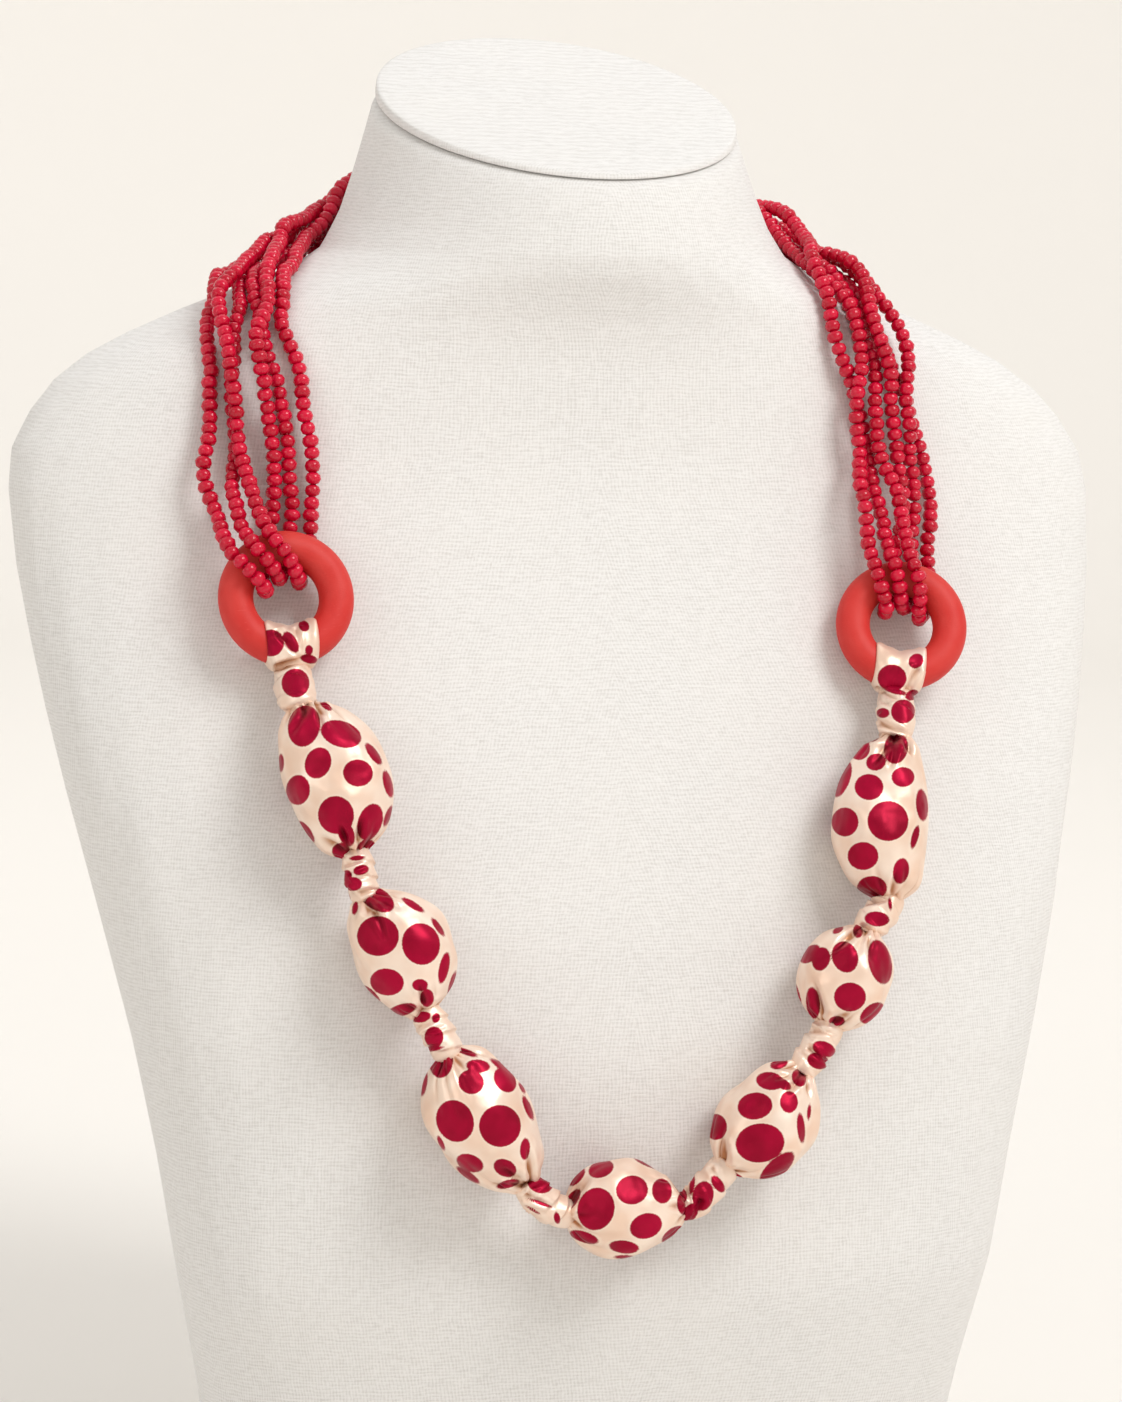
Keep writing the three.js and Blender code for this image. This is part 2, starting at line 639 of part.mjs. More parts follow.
// Strands pushed clear of each other, of the rings and of the bust, as their weight and
// stiffness would leave them
function relaxStrands(paths, rings) {
  const count = 240;
  const apart = BEAD_DIAMETER + STRAND_CLEARANCE;
  const off = BEAD_DIAMETER / 2 + STRAND_OFF;
  const offRing = (RING_BAR + BEAD_DIAMETER) / 2 + STRAND_OFF;
  const nodes = [];
  paths.forEach((points, loop) => {
    const curve = new THREE.CatmullRomCurve3(points, true, 'centripetal');
    for (let i = 0; i < count; i += 1) {
      const at = curve.getPointAt(i / count);
      nodes.push({ at, home: at.clone(), loop, place: i });
    }
  });
  const push = (a, b, least) => {
    const gap = a.at.clone().sub(b.at);
    const distance = gap.length();
    if (distance >= least || distance === 0) return;
    gap.multiplyScalar((0.5 * (least - distance)) / distance);
    a.at.add(gap);
    b.at.sub(gap);
  };
  const rounds = 200;
  const settling = 150; // after these rounds the strands are only pushed clear
  for (let round = 0; round < rounds; round += 1) {
    const keep = 0.02 * Math.max(0, 1 - round / settling);
    const stiffness = round < settling ? 0.2 : 0.02;
    // Stiffness and the pull to where the strand was laid
    const smooth = nodes.map((node) => {
      const start = node.loop * count;
      const before = nodes[start + ((node.place + count - 1) % count)].at;
      const after = nodes[start + ((node.place + 1) % count)].at;
      return mixed(node.at, mixed(before, after, 0.5), stiffness).lerp(node.home, keep);
    });
    nodes.forEach((node, i) => node.at.copy(smooth[i]));
    for (let i = 0; i < nodes.length; i += 1) {
      const a = nodes[i];
      for (let j = i + 1; j < nodes.length; j += 1) {
        const b = nodes[j];
        if (Math.abs(a.at.x - b.at.x) > apart) continue;
        if (Math.abs(a.at.z - b.at.z) > apart) continue;
        const steps = Math.abs(a.place - b.place);
        if (a.loop === b.loop && Math.min(steps, count - steps) < 4) continue;
        push(a, b, apart);
      }
    }
    for (const node of nodes) {
      const surface = bustNormal(node.at);
      if (surface.distance < off) node.at.addScaledVector(surface.normal, off - surface.distance);
      for (const ring of [rings.left, rings.right]) {
        const local = node.at.clone().sub(ring.middle);
        if (local.length() > RING_OUTER) continue;
        const flat = local.clone().addScaledVector(ring.facing, -local.dot(ring.facing));
        const core = ring.middle.clone().addScaledVector(flat.normalize(), RING_CENTRELINE);
        const away = node.at.clone().sub(core);
        if (away.length() < offRing) node.at.copy(core.addScaledVector(away.normalize(), offRing));
      }
    }
  }
  return paths.map((_, loop) => (
    nodes.slice(loop * count, (loop + 1) * count).map((node) => node.at)));
}

// The few points that the tube of a loop goes through: close together where the strand turns
// round a ring, wide apart on its long runs
function tubePoints(points, rings) {
  const curve = new THREE.CatmullRomCurve3(points, true, 'centripetal');
  const samples = 960;
  const weights = [0];
  for (let i = 1; i <= samples; i += 1) {
    const p = curve.getPointAt((i - 0.5) / samples);
    const toRing = Math.min(p.distanceTo(rings.left.middle), p.distanceTo(rings.right.middle));
    weights.push(weights[i - 1] + (toRing < RING_OUTER / 2 ? WRAP_DENSITY : 1));
  }
  const total = weights[samples];
  const steps = 2 * (RUN_STEPS + WRAP_STEPS);
  const out = [];
  let k = 0;
  for (let i = 0; i < steps; i += 1) {
    const wanted = (total * i) / steps;
    while (weights[k + 1] <= wanted) k += 1;
    const within = (wanted - weights[k]) / (weights[k + 1] - weights[k]);
    out.push(curve.getPointAt((k + within) / samples));
  }
  return out;
}

buildBust();
const axes = buildString();
const firstCover = axes[0];
const lastCover = axes[axes.length - 1];
const rings = {
  left: placeRing(RINGS.left, firstCover.start),
  right: placeRing(RINGS.right, lastCover.end),
};
addMesh('ring_left', wholeRing(rings.left, RING_BAR / 2, 28, 10), COLOUR.ring, ROUGHNESS.ring);
addMesh('ring_right', wholeRing(rings.right, RING_BAR / 2, 28, 10), COLOUR.ring, ROUGHNESS.ring);
buildRingLoop('ring_loop_left', rings.left, firstCover.start, firstCover.direction.clone().negate());
buildRingLoop('ring_loop_right', rings.right, lastCover.end, lastCover.direction);
const strands = relaxStrands([0, 1, 2].map((index) => loopPoints(index, rings)), rings);
strands.forEach((points, index) => {
  const tube = closedTube(tubePoints(points, rings), BEAD_DIAMETER / 2, STRAND_SIDES);
  addMesh(`bead_loop_${index + 1}`, tube, COLOUR.bead, ROUGHNESS.bead);
});

export default group;
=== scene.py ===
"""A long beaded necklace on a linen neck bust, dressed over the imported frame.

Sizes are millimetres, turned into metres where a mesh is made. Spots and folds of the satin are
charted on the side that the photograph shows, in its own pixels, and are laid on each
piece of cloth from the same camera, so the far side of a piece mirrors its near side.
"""

import logging
import math
from collections.abc import Iterable, Sequence
from dataclasses import dataclass, field
from enum import Enum

import bpy
import numpy as np
from mathutils import Matrix, Vector
from mathutils.bvhtree import BVHTree

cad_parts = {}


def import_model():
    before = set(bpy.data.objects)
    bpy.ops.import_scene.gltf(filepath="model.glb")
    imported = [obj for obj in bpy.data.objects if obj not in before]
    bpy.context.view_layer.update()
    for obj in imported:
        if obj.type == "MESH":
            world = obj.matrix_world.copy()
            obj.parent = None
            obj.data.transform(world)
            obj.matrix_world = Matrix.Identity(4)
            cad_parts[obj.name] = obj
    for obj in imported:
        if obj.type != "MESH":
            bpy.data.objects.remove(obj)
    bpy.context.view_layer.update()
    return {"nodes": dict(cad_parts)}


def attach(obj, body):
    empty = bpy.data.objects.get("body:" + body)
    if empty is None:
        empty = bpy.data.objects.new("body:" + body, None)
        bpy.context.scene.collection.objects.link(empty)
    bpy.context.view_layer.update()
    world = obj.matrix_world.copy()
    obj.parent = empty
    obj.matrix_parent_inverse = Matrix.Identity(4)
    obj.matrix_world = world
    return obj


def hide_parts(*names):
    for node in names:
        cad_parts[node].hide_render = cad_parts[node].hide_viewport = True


MM = 0.001
BODY = "root"

# How far from its edge the print keeps a place's depth in a spot, in the photograph's pixels
EDGE_REACH = 4.0

# The depth in millimetres beyond which the painted shade in the satin's tucks grows no darker
DEEPEST_TUCK = 3.0

# A direction that no strand runs along
LEANING = (0.3, 0.2, 0.93)

# The widest angle at which two triangles of a CAD solid are paired
PAIRING = math.radians(60)

log = logging.getLogger("necklace")

Colour = tuple[float, float, float, float]
Triple = tuple[float, float, float]


class Slot(Enum):
    """Names of the four material slots; no piece here is given one."""

    LINEN = "linen"
    SATIN = "satin"
    RING = "ring"
    BEAD = "bead"


@dataclass(frozen=True)
class PhotoView:
    """The camera that took the photograph: degrees, millimetres and the photograph's pixels."""

    azimuth: float = -17.0
    elevation: float = 7.0
    roll: float = 1.3
    distance: float = 1100.0
    aim: Triple = (-7.4, -40.0, 201.0)
    focal_px: float = 4400.0
    width_px: int = 1122
    height_px: int = 1402
    sensor: float = 36.0

    def axes(self) -> tuple[np.ndarray, np.ndarray, np.ndarray]:
        """Work out which way the camera is turned.

        Returns:
            Its right, its up and the way back from the aim to the camera.
        """
        az, el, roll = (math.radians(v) for v in (self.azimuth, self.elevation, self.roll))
        back = np.array([math.sin(az) * math.cos(el), -math.cos(az) * math.cos(el), math.sin(el)])
        level = np.array([math.cos(az), math.sin(az), 0.0])
        upright = np.cross(back, level)
        right = level * math.cos(roll) + upright * math.sin(roll)
        up = upright * math.cos(roll) - level * math.sin(roll)
        return right, up, back

    def place(self) -> np.ndarray:
        """Where the camera stands."""
        return np.array(self.aim) + self.distance * self.axes()[2]

    def project(self, points: np.ndarray) -> np.ndarray:
        """Find where points fall in the photograph.

        Args:
            points: places in millimetres, a row each.

        Returns:
            Their pixels across and down, a row each.
        """
        right, up, back = self.axes()
        away = points - self.place()
        scale = self.focal_px / -(away @ back)
        across = self.width_px / 2 + scale * (away @ right)
        down = self.height_px / 2 - scale * (away @ up)
        return np.stack([across, down], axis=1)

    def build(self) -> bpy.types.Object:
        """Add the camera and make it the scene's own.

        Returns:
            The camera.
        """
        right, up, back = self.axes()
        data = bpy.data.cameras.new("photo_camera")
        data.sensor_fit = "HORIZONTAL"
        data.sensor_width = self.sensor
        data.lens = self.sensor * self.focal_px / self.width_px
        data.clip_start, data.clip_end = 0.01, 50.0
        camera = bpy.data.objects.new("photo_camera", data)
        turn = Matrix((right, up, back)).transposed().to_4x4()
        camera.matrix_world = Matrix.Translation(Vector(self.place() * MM)) @ turn
        bpy.context.collection.objects.link(camera)
        bpy.context.scene.camera = camera
        return camera


VIEW = PhotoView()


@dataclass(frozen=True)
class Spot:
    """A round spot of the print as it shows: middle and half sizes in pixels, turn in degrees."""

    x: float
    y: float
    half_wide: float
    half_high: float
    turn: float = 0.0

    def depth(self, pixels: np.ndarray) -> np.ndarray:
        """How many pixels inside the spot's edge each place lies, below 0 outside it."""
        turn = math.radians(self.turn)
        dx, dy = pixels[:, 0] - self.x, pixels[:, 1] - self.y
        along = (dx * math.cos(turn) + dy * math.sin(turn)) / self.half_wide
        across = (dy * math.cos(turn) - dx * math.sin(turn)) / self.half_high
        reach = np.sqrt(along**2 + across**2)
        return (1.0 - reach) * min(self.half_wide, self.half_high)


@dataclass(frozen=True)
class FoldShape:
    """What all folds share: how they swell, end and stand out, as shares of their chart."""

    widened: float = 1.4
    deepened: float = 1.3
    tip: float = 0.45
    lip_height: float = 0.45
    lip_away: float = 2.1


FOLD_SHAPE = FoldShape()


@dataclass(frozen=True)
class Fold:
    """A fold in the cloth: from the tied end to its tip, and half its width, in pixels."""

    x0: float
    y0: float
    x1: float
    y1: float
    wide: float = 2.6
    deep: float = 1.3

    def groove(self, pixels: np.ndarray) -> np.ndarray:
        """How far the cloth is drawn in at each place, in millimetres, with a lip on each side."""
        way = np.array([self.x1 - self.x0, self.y1 - self.y0], dtype=float)
        length = float(np.hypot(*way))
        way /= length
        off = pixels - np.array([self.x0, self.y0])
        along = np.clip((off @ way) / length, 0.0, 1.0)
        nearest = np.array([self.x0, self.y0]) + along[:, None] * length * way
        away = np.hypot(*(pixels - nearest).T)
        taper = np.sqrt(1.0 - along) * np.exp(-((np.maximum(-(off @ way), 0) / self.wide) ** 2))
        shape = FOLD_SHAPE
        width = shape.widened * self.wide * (shape.tip + (1 - shape.tip) * taper)
        hollow = np.exp(-((away / width) ** 2))
        lip = shape.lip_height * np.exp(-(((away - shape.lip_away * width) / width) ** 2))
        return shape.deepened * self.deep * taper * (hollow - lip)


COVER_SPOTS: dict[str, tuple[Spot, ...]] = {
    "cover_left_top": (
        Spot(304, 726, 16, 21, 12), Spot(341, 734, 21, 13, 18), Spot(318, 763, 13, 16, 22),
        Spot(358, 773, 15, 13.5, 8), Spot(373.5, 754, 4.5, 13, -36), Spot(388, 784, 4.5, 14, -14),
        Spot(298, 790, 12, 15, 4), Spot(281, 763, 3, 9), Spot(336, 815, 18, 19, -10),
        Spot(346, 833, 8, 14, -20), Spot(370, 822, 12, 19, 20), Spot(306, 832, 5, 13, -35),
        Spot(290, 808, 2.5, 8, -22), Spot(388, 816, 3, 11, 20), Spot(341, 851, 9, 8),
        Spot(366, 848, 10, 8, -30), Spot(326, 706, 7, 3, 35),
    ),
    "cover_left_middle": (
        Spot(378, 936, 21, 20), Spot(421, 944, 19, 21, -15), Spot(387, 982, 17, 13.5, 8),
        Spot(444, 968, 5, 16, 12), Spot(420, 985, 8, 6), Spot(427, 998, 7, 9),
        Spot(377, 899, 19, 11, 30), Spot(413, 905, 3.5, 13, -58), Spot(438, 927, 3, 11, -35),
        Spot(371, 995, 4.5, 13, -45), Spot(402, 1010, 15, 6, -15), Spot(452, 985, 3, 14, 15),
        Spot(354, 970, 2, 8, -15), Spot(355, 908, 3, 7, 10),
    ),
    "cover_left_low": (
        Spot(455, 1121, 18.5, 21.5, -25), Spot(500, 1126, 21, 21), Spot(441, 1061, 12, 17, 4),
        Spot(471, 1082, 13, 12, 20), Spot(478, 1066, 12, 6.5, 5), Spot(505, 1080, 10, 13.5, -35),
        Spot(503, 1067, 3.5, 15, -58), Spot(423, 1081, 4.5, 15, 5), Spot(470, 1163, 14, 8.5, 20),
        Spot(468, 1175, 3.5, 14, -55), Spot(505, 1168, 12, 8.5, 25), Spot(525, 1149, 5, 11, 5),
        Spot(528, 1108, 3.5, 13, -22), Spot(508, 1184, 12, 4, -15), Spot(441, 1143, 2.5, 8, -25),
        Spot(522, 1088, 2, 6, -30), Spot(466, 1052, 3, 12, -70),
    ),
    "cover_centre": (
        Spot(596, 1209, 18.5, 21.5, 15), Spot(632, 1190, 16, 14.5, -8), Spot(662, 1191, 10, 12.5, -8),
        Spot(646, 1226, 16.5, 12.5, -20), Spot(601, 1169, 13, 8.5, -20), Spot(652, 1163, 20, 5, 20),
        Spot(624, 1247, 15, 6.5, 6), Spot(584, 1237, 15, 5.5, 18), Spot(673, 1235, 13, 6.5, -36),
        Spot(577, 1177, 11, 5, -50), Spot(572, 1200, 13, 5.5, -55), Spot(624, 1257, 10, 2),
        Spot(684, 1203, 7, 12),
    ),
    "cover_right_low": (
        Spot(760, 1143, 24.5, 19.5, -8), Spot(755, 1106, 17.5, 13.5, -8), Spot(716, 1127, 11, 13),
        Spot(770, 1081, 14, 9, 8), Spot(783, 1084, 9, 5, 30), Spot(789, 1102, 9, 11),
        Spot(801, 1128, 4, 15, -5), Spot(777, 1168, 22, 9, -42), Spot(731, 1180, 13, 8, 10),
        Spot(717, 1089, 13, 4, -42), Spot(779, 1064, 9, 5, -15), Spot(799, 1078, 7, 9, -20),
        Spot(809, 1112, 2, 8, 5),
    ),
    "cover_right_middle": (
        Spot(845, 957, 13, 16, -20), Spot(880, 962, 11.5, 22.5, -12), Spot(850, 997, 16, 14.5),
        Spot(821, 959, 9, 12, 15), Spot(810, 954, 12, 7, -40), Spot(813, 1003, 7, 16, -5),
        Spot(798, 1000, 3, 17, -12), Spot(872, 1013, 14, 8, -38), Spot(858, 931, 5, 7),
        Spot(837, 1021, 8, 5), Spot(838, 930, 6, 3, -30),
    ),
    "cover_right_top": (
        Spot(888, 821, 20.5, 20), Spot(845, 822, 13.5, 14.5), Spot(869, 787, 14.5, 13, 5),
        Spot(863, 856, 15.5, 14), Spot(872, 888, 15, 12), Spot(842, 779, 8, 19, 20),
        Spot(903, 777, 11.5, 10), Spot(876, 762, 10, 8.5, -15), Spot(859, 748, 11, 12),
        Spot(896, 748, 12, 16, 10), Spot(922, 805, 6, 16, -5), Spot(901, 871, 8, 13, 10),
        Spot(915, 837, 3.5, 12, 15), Spot(873, 734, 7, 8, 30), Spot(828, 832, 2, 10),
    ),
}

COVER_FOLDS: dict[str, tuple[Fold, ...]] = {
    "cover_left_top": (
        Fold(318, 702, 322, 730), Fold(308, 704, 291, 734, 3.0, 0.9), Fold(352, 856, 340, 826),
        Fold(350, 855, 318, 837, 3.6, 1.7), Fold(354, 855, 363, 815), Fold(356, 856, 378, 834, 2.8),
        Fold(294, 708, 286, 726, 2.4, 0.8),
    ),
    "cover_left_middle": (
        Fold(362, 891, 376, 918, 4.2, 1.9), Fold(364, 890, 399, 909, 2.8), Fold(361, 893, 354, 918),
        Fold(376, 912, 386, 940, 2.4, 0.8), Fold(427, 1015, 419, 984, 3.2, 1.6),
        Fold(424, 1014, 398, 1004), Fold(429, 1013, 447, 998, 2.4), Fold(366, 889, 410, 900, 2.2, 0.9),
    ),
    "cover_left_low": (
        Fold(447, 1048, 468, 1072, 3.6, 1.7), Fold(449, 1047, 482, 1060, 2.4),
        Fold(444, 1050, 438, 1076), Fold(529, 1187, 500, 1168, 3.4, 1.6),
        Fold(528, 1188, 492, 1184, 2.6), Fold(531, 1184, 529, 1148),
        Fold(450, 1046, 505, 1060, 2.2, 0.8),
    ),
    "cover_centre": (
        Fold(563, 1210, 590, 1178, 2.8, 1.4), Fold(563, 1212, 579, 1196, 2.6),
        Fold(564, 1214, 582, 1228), Fold(692, 1203, 668, 1172, 3.0, 1.4),
        Fold(692, 1206, 668, 1206, 2.8, 1.4), Fold(690, 1209, 676, 1226, 2.2),
    ),
    "cover_right_low": (
        Fold(722, 1168, 723, 1136, 3.6, 1.7), Fold(722, 1170, 748, 1172, 2.4),
        Fold(804, 1070, 774, 1078, 3.0), Fold(804, 1071, 788, 1094, 2.8, 1.4),
        Fold(806, 1070, 810, 1100), Fold(802, 1067, 776, 1068, 2.2),
    ),
    "cover_right_middle": (
        Fold(826, 1029, 812, 978, 3.0, 1.5), Fold(828, 1028, 854, 1010, 4.0, 1.8),
        Fold(828, 1030, 848, 1030, 2.4), Fold(868, 927, 872, 962, 2.6), Fold(864, 926, 830, 952, 3.0),
        Fold(866, 926, 860, 944, 2.4), Fold(824, 1026, 806, 1008, 2.2),
    ),
    "cover_right_top": (
        Fold(893, 736, 872, 766, 3.4, 1.6), Fold(896, 737, 890, 768, 2.8, 1.4),
        Fold(899, 736, 914, 756), Fold(890, 902, 898, 868, 2.6), Fold(888, 902, 860, 888, 2.6),
        Fold(890, 734, 862, 742, 2.4),
    ),
}

# How far the tied ends of each cover lie off its middle line, across and up, in millimetres
TIED_ASIDE: dict[str, tuple[float, float]] = {
    "cover_left_top": (-2.4, 0.0),
    "cover_left_middle": (-2.4, 0.0),
    "cover_left_low": (2.1, -0.6),
    "cover_centre": (1.5, -0.5),
    "cover_right_low": (-0.9, 1.3),
    "cover_right_middle": (0.8, -0.4),
    "cover_right_top": (3.0, -0.9),
}

KNOT_SPOTS: dict[str, tuple[Spot, ...]] = {
    "knot_left_upper": (
        Spot(361, 870, 8, 5, -15), Spot(347, 876, 5, 6), Spot(353, 884, 9, 7),
        Spot(348, 897, 2, 6, -15), Spot(357, 858, 8, 2.6, -5),
    ),
    "knot_left_lower": (
        Spot(421, 1017, 10, 5.5, -10), Spot(436, 1018, 4, 5, 20), Spot(434, 1037, 9.5, 10.5),
        Spot(431, 1049, 13, 2.6, -8),
    ),
    "knot_centre_left": (
        Spot(540, 1181, 14, 12, 30), Spot(540, 1203, 14, 2, 20), Spot(533, 1210, 8, 1.5, 30),
        Spot(557, 1218, 3.2, 6, -10),
    ),
    "knot_centre_right": (
        Spot(703, 1196, 10.5, 15, 10), Spot(718, 1184, 5, 10, -35), Spot(690, 1213, 7, 11, 35),
        Spot(692, 1185, 2.6, 10, 10), Spot(681, 1195, 6, 8, -20),
    ),
    "knot_right_lower": (Spot(824, 1049, 12, 7.5, 20), Spot(818, 1061, 11, 8, 20)),
    "knot_right_upper": (Spot(877, 919, 12.5, 7.5, 5), Spot(890, 904, 2, 6.5, -5)),
}

KNOT_FOLDS: dict[str, tuple[Fold, ...]] = {
    "knot_left_upper": (
        Fold(346, 864, 368, 858, 1.8, 0.5), Fold(349, 874, 370, 865, 1.8, 0.6),
        Fold(352, 878, 373, 874, 1.6, 0.5), Fold(360, 893, 376, 888, 2.0, 0.7),
        Fold(346, 890, 357, 898, 1.8, 0.6),
    ),
    "knot_left_lower": (
        Fold(417, 1028, 441, 1016, 1.8, 0.6), Fold(424, 1034, 446, 1026, 1.8, 0.6),
        Fold(416, 1050, 446, 1045, 2.0, 0.7),
    ),
    "knot_centre_left": (
        Fold(526, 1196, 556, 1208, 2.2, 0.9), Fold(526, 1207, 546, 1213, 1.8, 0.6),
        Fold(530, 1192, 548, 1184, 2.4, 0.8), Fold(533, 1172, 546, 1180, 2.0, 0.7),
    ),
    "knot_centre_right": (
        Fold(711, 1167, 726, 1190, 2.0, 0.7), Fold(701, 1200, 696, 1216, 2.2, 0.9),
        Fold(684, 1186, 692, 1202, 2.2, 0.9),
    ),
    "knot_right_lower": (Fold(809, 1047, 834, 1068, 2.2, 0.9), Fold(812, 1030, 838, 1034, 2.0, 0.7)),
    "knot_right_upper": (Fold(861, 926, 889, 939, 2.0, 0.7), Fold(862, 903, 890, 899, 2.0, 0.7)),
}

LOOP_SPOTS: dict[str, tuple[Spot, ...]] = {
    "ring_loop_left": (
        Spot(271, 643, 13, 13.5), Spot(291, 642, 6, 12, -32), Spot(304, 626, 5, 6, -40),
        Spot(309, 650, 4, 5), Spot(309, 659, 9, 4.5, 12), Spot(295.5, 683, 14, 14.5),
    ),
    "ring_loop_right": (
        Spot(892, 678, 14.5, 13.5), Spot(916, 661, 7, 8, 45), Spot(912, 695, 7, 5, -30),
        Spot(903, 711.5, 12, 12), Spot(883, 713, 6.5, 5), Spot(895, 691, 12, 3, 15),
    ),
}

LOOP_FOLDS: dict[str, tuple[Fold, ...]] = {
    "ring_loop_left": (
        Fold(277, 632, 300, 658, 2.2, 0.9), Fold(296, 628, 301, 656, 1.8, 0.6),
        Fold(276, 668, 312, 656, 2.6, 1.0), Fold(284, 712, 314, 700, 2.0, 0.8),
    ),
    "ring_loop_right": (
        Fold(876, 690, 904, 700, 2.6, 1.0), Fold(918, 668, 902, 698, 2.2, 0.8),
        Fold(877, 697, 892, 706, 2.0, 0.8), Fold(878, 722, 912, 736, 2.2, 0.9),
    ),
}


SHADER_SOCKETS: dict[str, str] = {
    "roughness": "Roughness",
    "gloss": "Metallic",
    "specular": "Specular IOR Level",
    "sheen": "Sheen Weight",
}


class Graph:
    """A material's nodes, added and joined in few words."""

    def __init__(self, name: str) -> None:
        """Start an empty material.

        Args:
            name: the material's name.
        """
        self.material = bpy.data.materials.new(name)
        self.material.use_nodes = True
        self.nodes = self.material.node_tree.nodes
        self.links = self.material.node_tree.links
        self.nodes.clear()
        self.shader = self.nodes.new("ShaderNodeBsdfPrincipled")
        output = self.nodes.new("ShaderNodeOutputMaterial")
        self.links.new(self.shader.outputs[0], output.inputs[0])

    def feed(self, socket: bpy.types.NodeSocket, value: object) -> None:
        """Give a socket a value, or link it to another one."""
        if isinstance(value, bpy.types.NodeSocket):
            self.links.new(value, socket)
        else:
            socket.default_value = value

    def set(self, **values: float) -> None:
        """Set plain numbers of the finish, such as its roughness."""
        for name, value in values.items():
            self.shader.inputs[SHADER_SOCKETS[name]].default_value = value

    def math(self, operation: str, *values: object) -> bpy.types.NodeSocket:
        """One sum of numbers or sockets."""
        node = self.nodes.new("ShaderNodeMath")
        node.operation = operation
        for socket, value in zip(node.inputs, values):
            self.feed(socket, value)
        return node.outputs[0]

    def ramp(self, value: object, low: float, high: float) -> bpy.types.NodeSocket:
        """A smooth rise from 0 at low to 1 at high."""
        node = self.nodes.new("ShaderNodeMapRange")
        node.interpolation_type = "SMOOTHSTEP"
        self.feed(node.inputs["Value"], value)
        node.inputs["From Min"].default_value = low
        node.inputs["From Max"].default_value = high
        return node.outputs["Result"]

    def mix(self, share: object, first: object, second: object) -> bpy.types.NodeSocket:
        """A blend of two colours."""
        node = self.nodes.new("ShaderNodeMix")
        node.data_type = "RGBA"
        self.feed(node.inputs["Factor"], share)
        self.feed(node.inputs[6], first)
        self.feed(node.inputs[7], second)
        return node.outputs[2]

    def place(self) -> bpy.types.NodeSocket:
        """The place on the piece, in metres."""
        return self.nodes.new("ShaderNodeTexCoord").outputs["Object"]

    def stored(self, name: str) -> bpy.types.NodeSocket:
        """A number kept at the mesh's points."""
        node = self.nodes.new("ShaderNodeAttribute")
        node.attribute_name = name
        return node.outputs["Fac"]

    def noise(
        self, size: float, detail: float = 2.0, stretch: Sequence[float] = (1, 1, 1)
    ) -> bpy.types.NodeSocket:
        """Cloudy noise.

        Args:
            size: the size of its clouds in millimetres.
            detail: how many finer layers it has.
            stretch: how many times finer it is along each axis.

        Returns:
            A number around 0.5.
        """
        mapping = self.nodes.new("ShaderNodeMapping")
        mapping.inputs["Scale"].default_value = tuple(stretch)
        self.feed(mapping.inputs["Vector"], self.place())
        node = self.nodes.new("ShaderNodeTexNoise")
        self.feed(node.inputs["Vector"], mapping.outputs[0])
        node.inputs["Scale"].default_value = 1.0 / (size * MM)
        node.inputs["Detail"].default_value = detail
        return node.outputs["Fac"]

    def bump(self, height: object, depth: float) -> None:
        """Raise the surface by a height from 0 to 1, depth millimetres in all."""
        node = self.nodes.new("ShaderNodeBump")
        node.inputs["Strength"].default_value = 1.0
        node.inputs["Distance"].default_value = depth * MM
        self.feed(node.inputs["Height"], height)
        normal = self.shader.inputs["Normal"]
        if normal.is_linked:
            self.links.new(normal.links[0].from_socket, node.inputs["Normal"])
        self.links.new(node.outputs[0], normal)


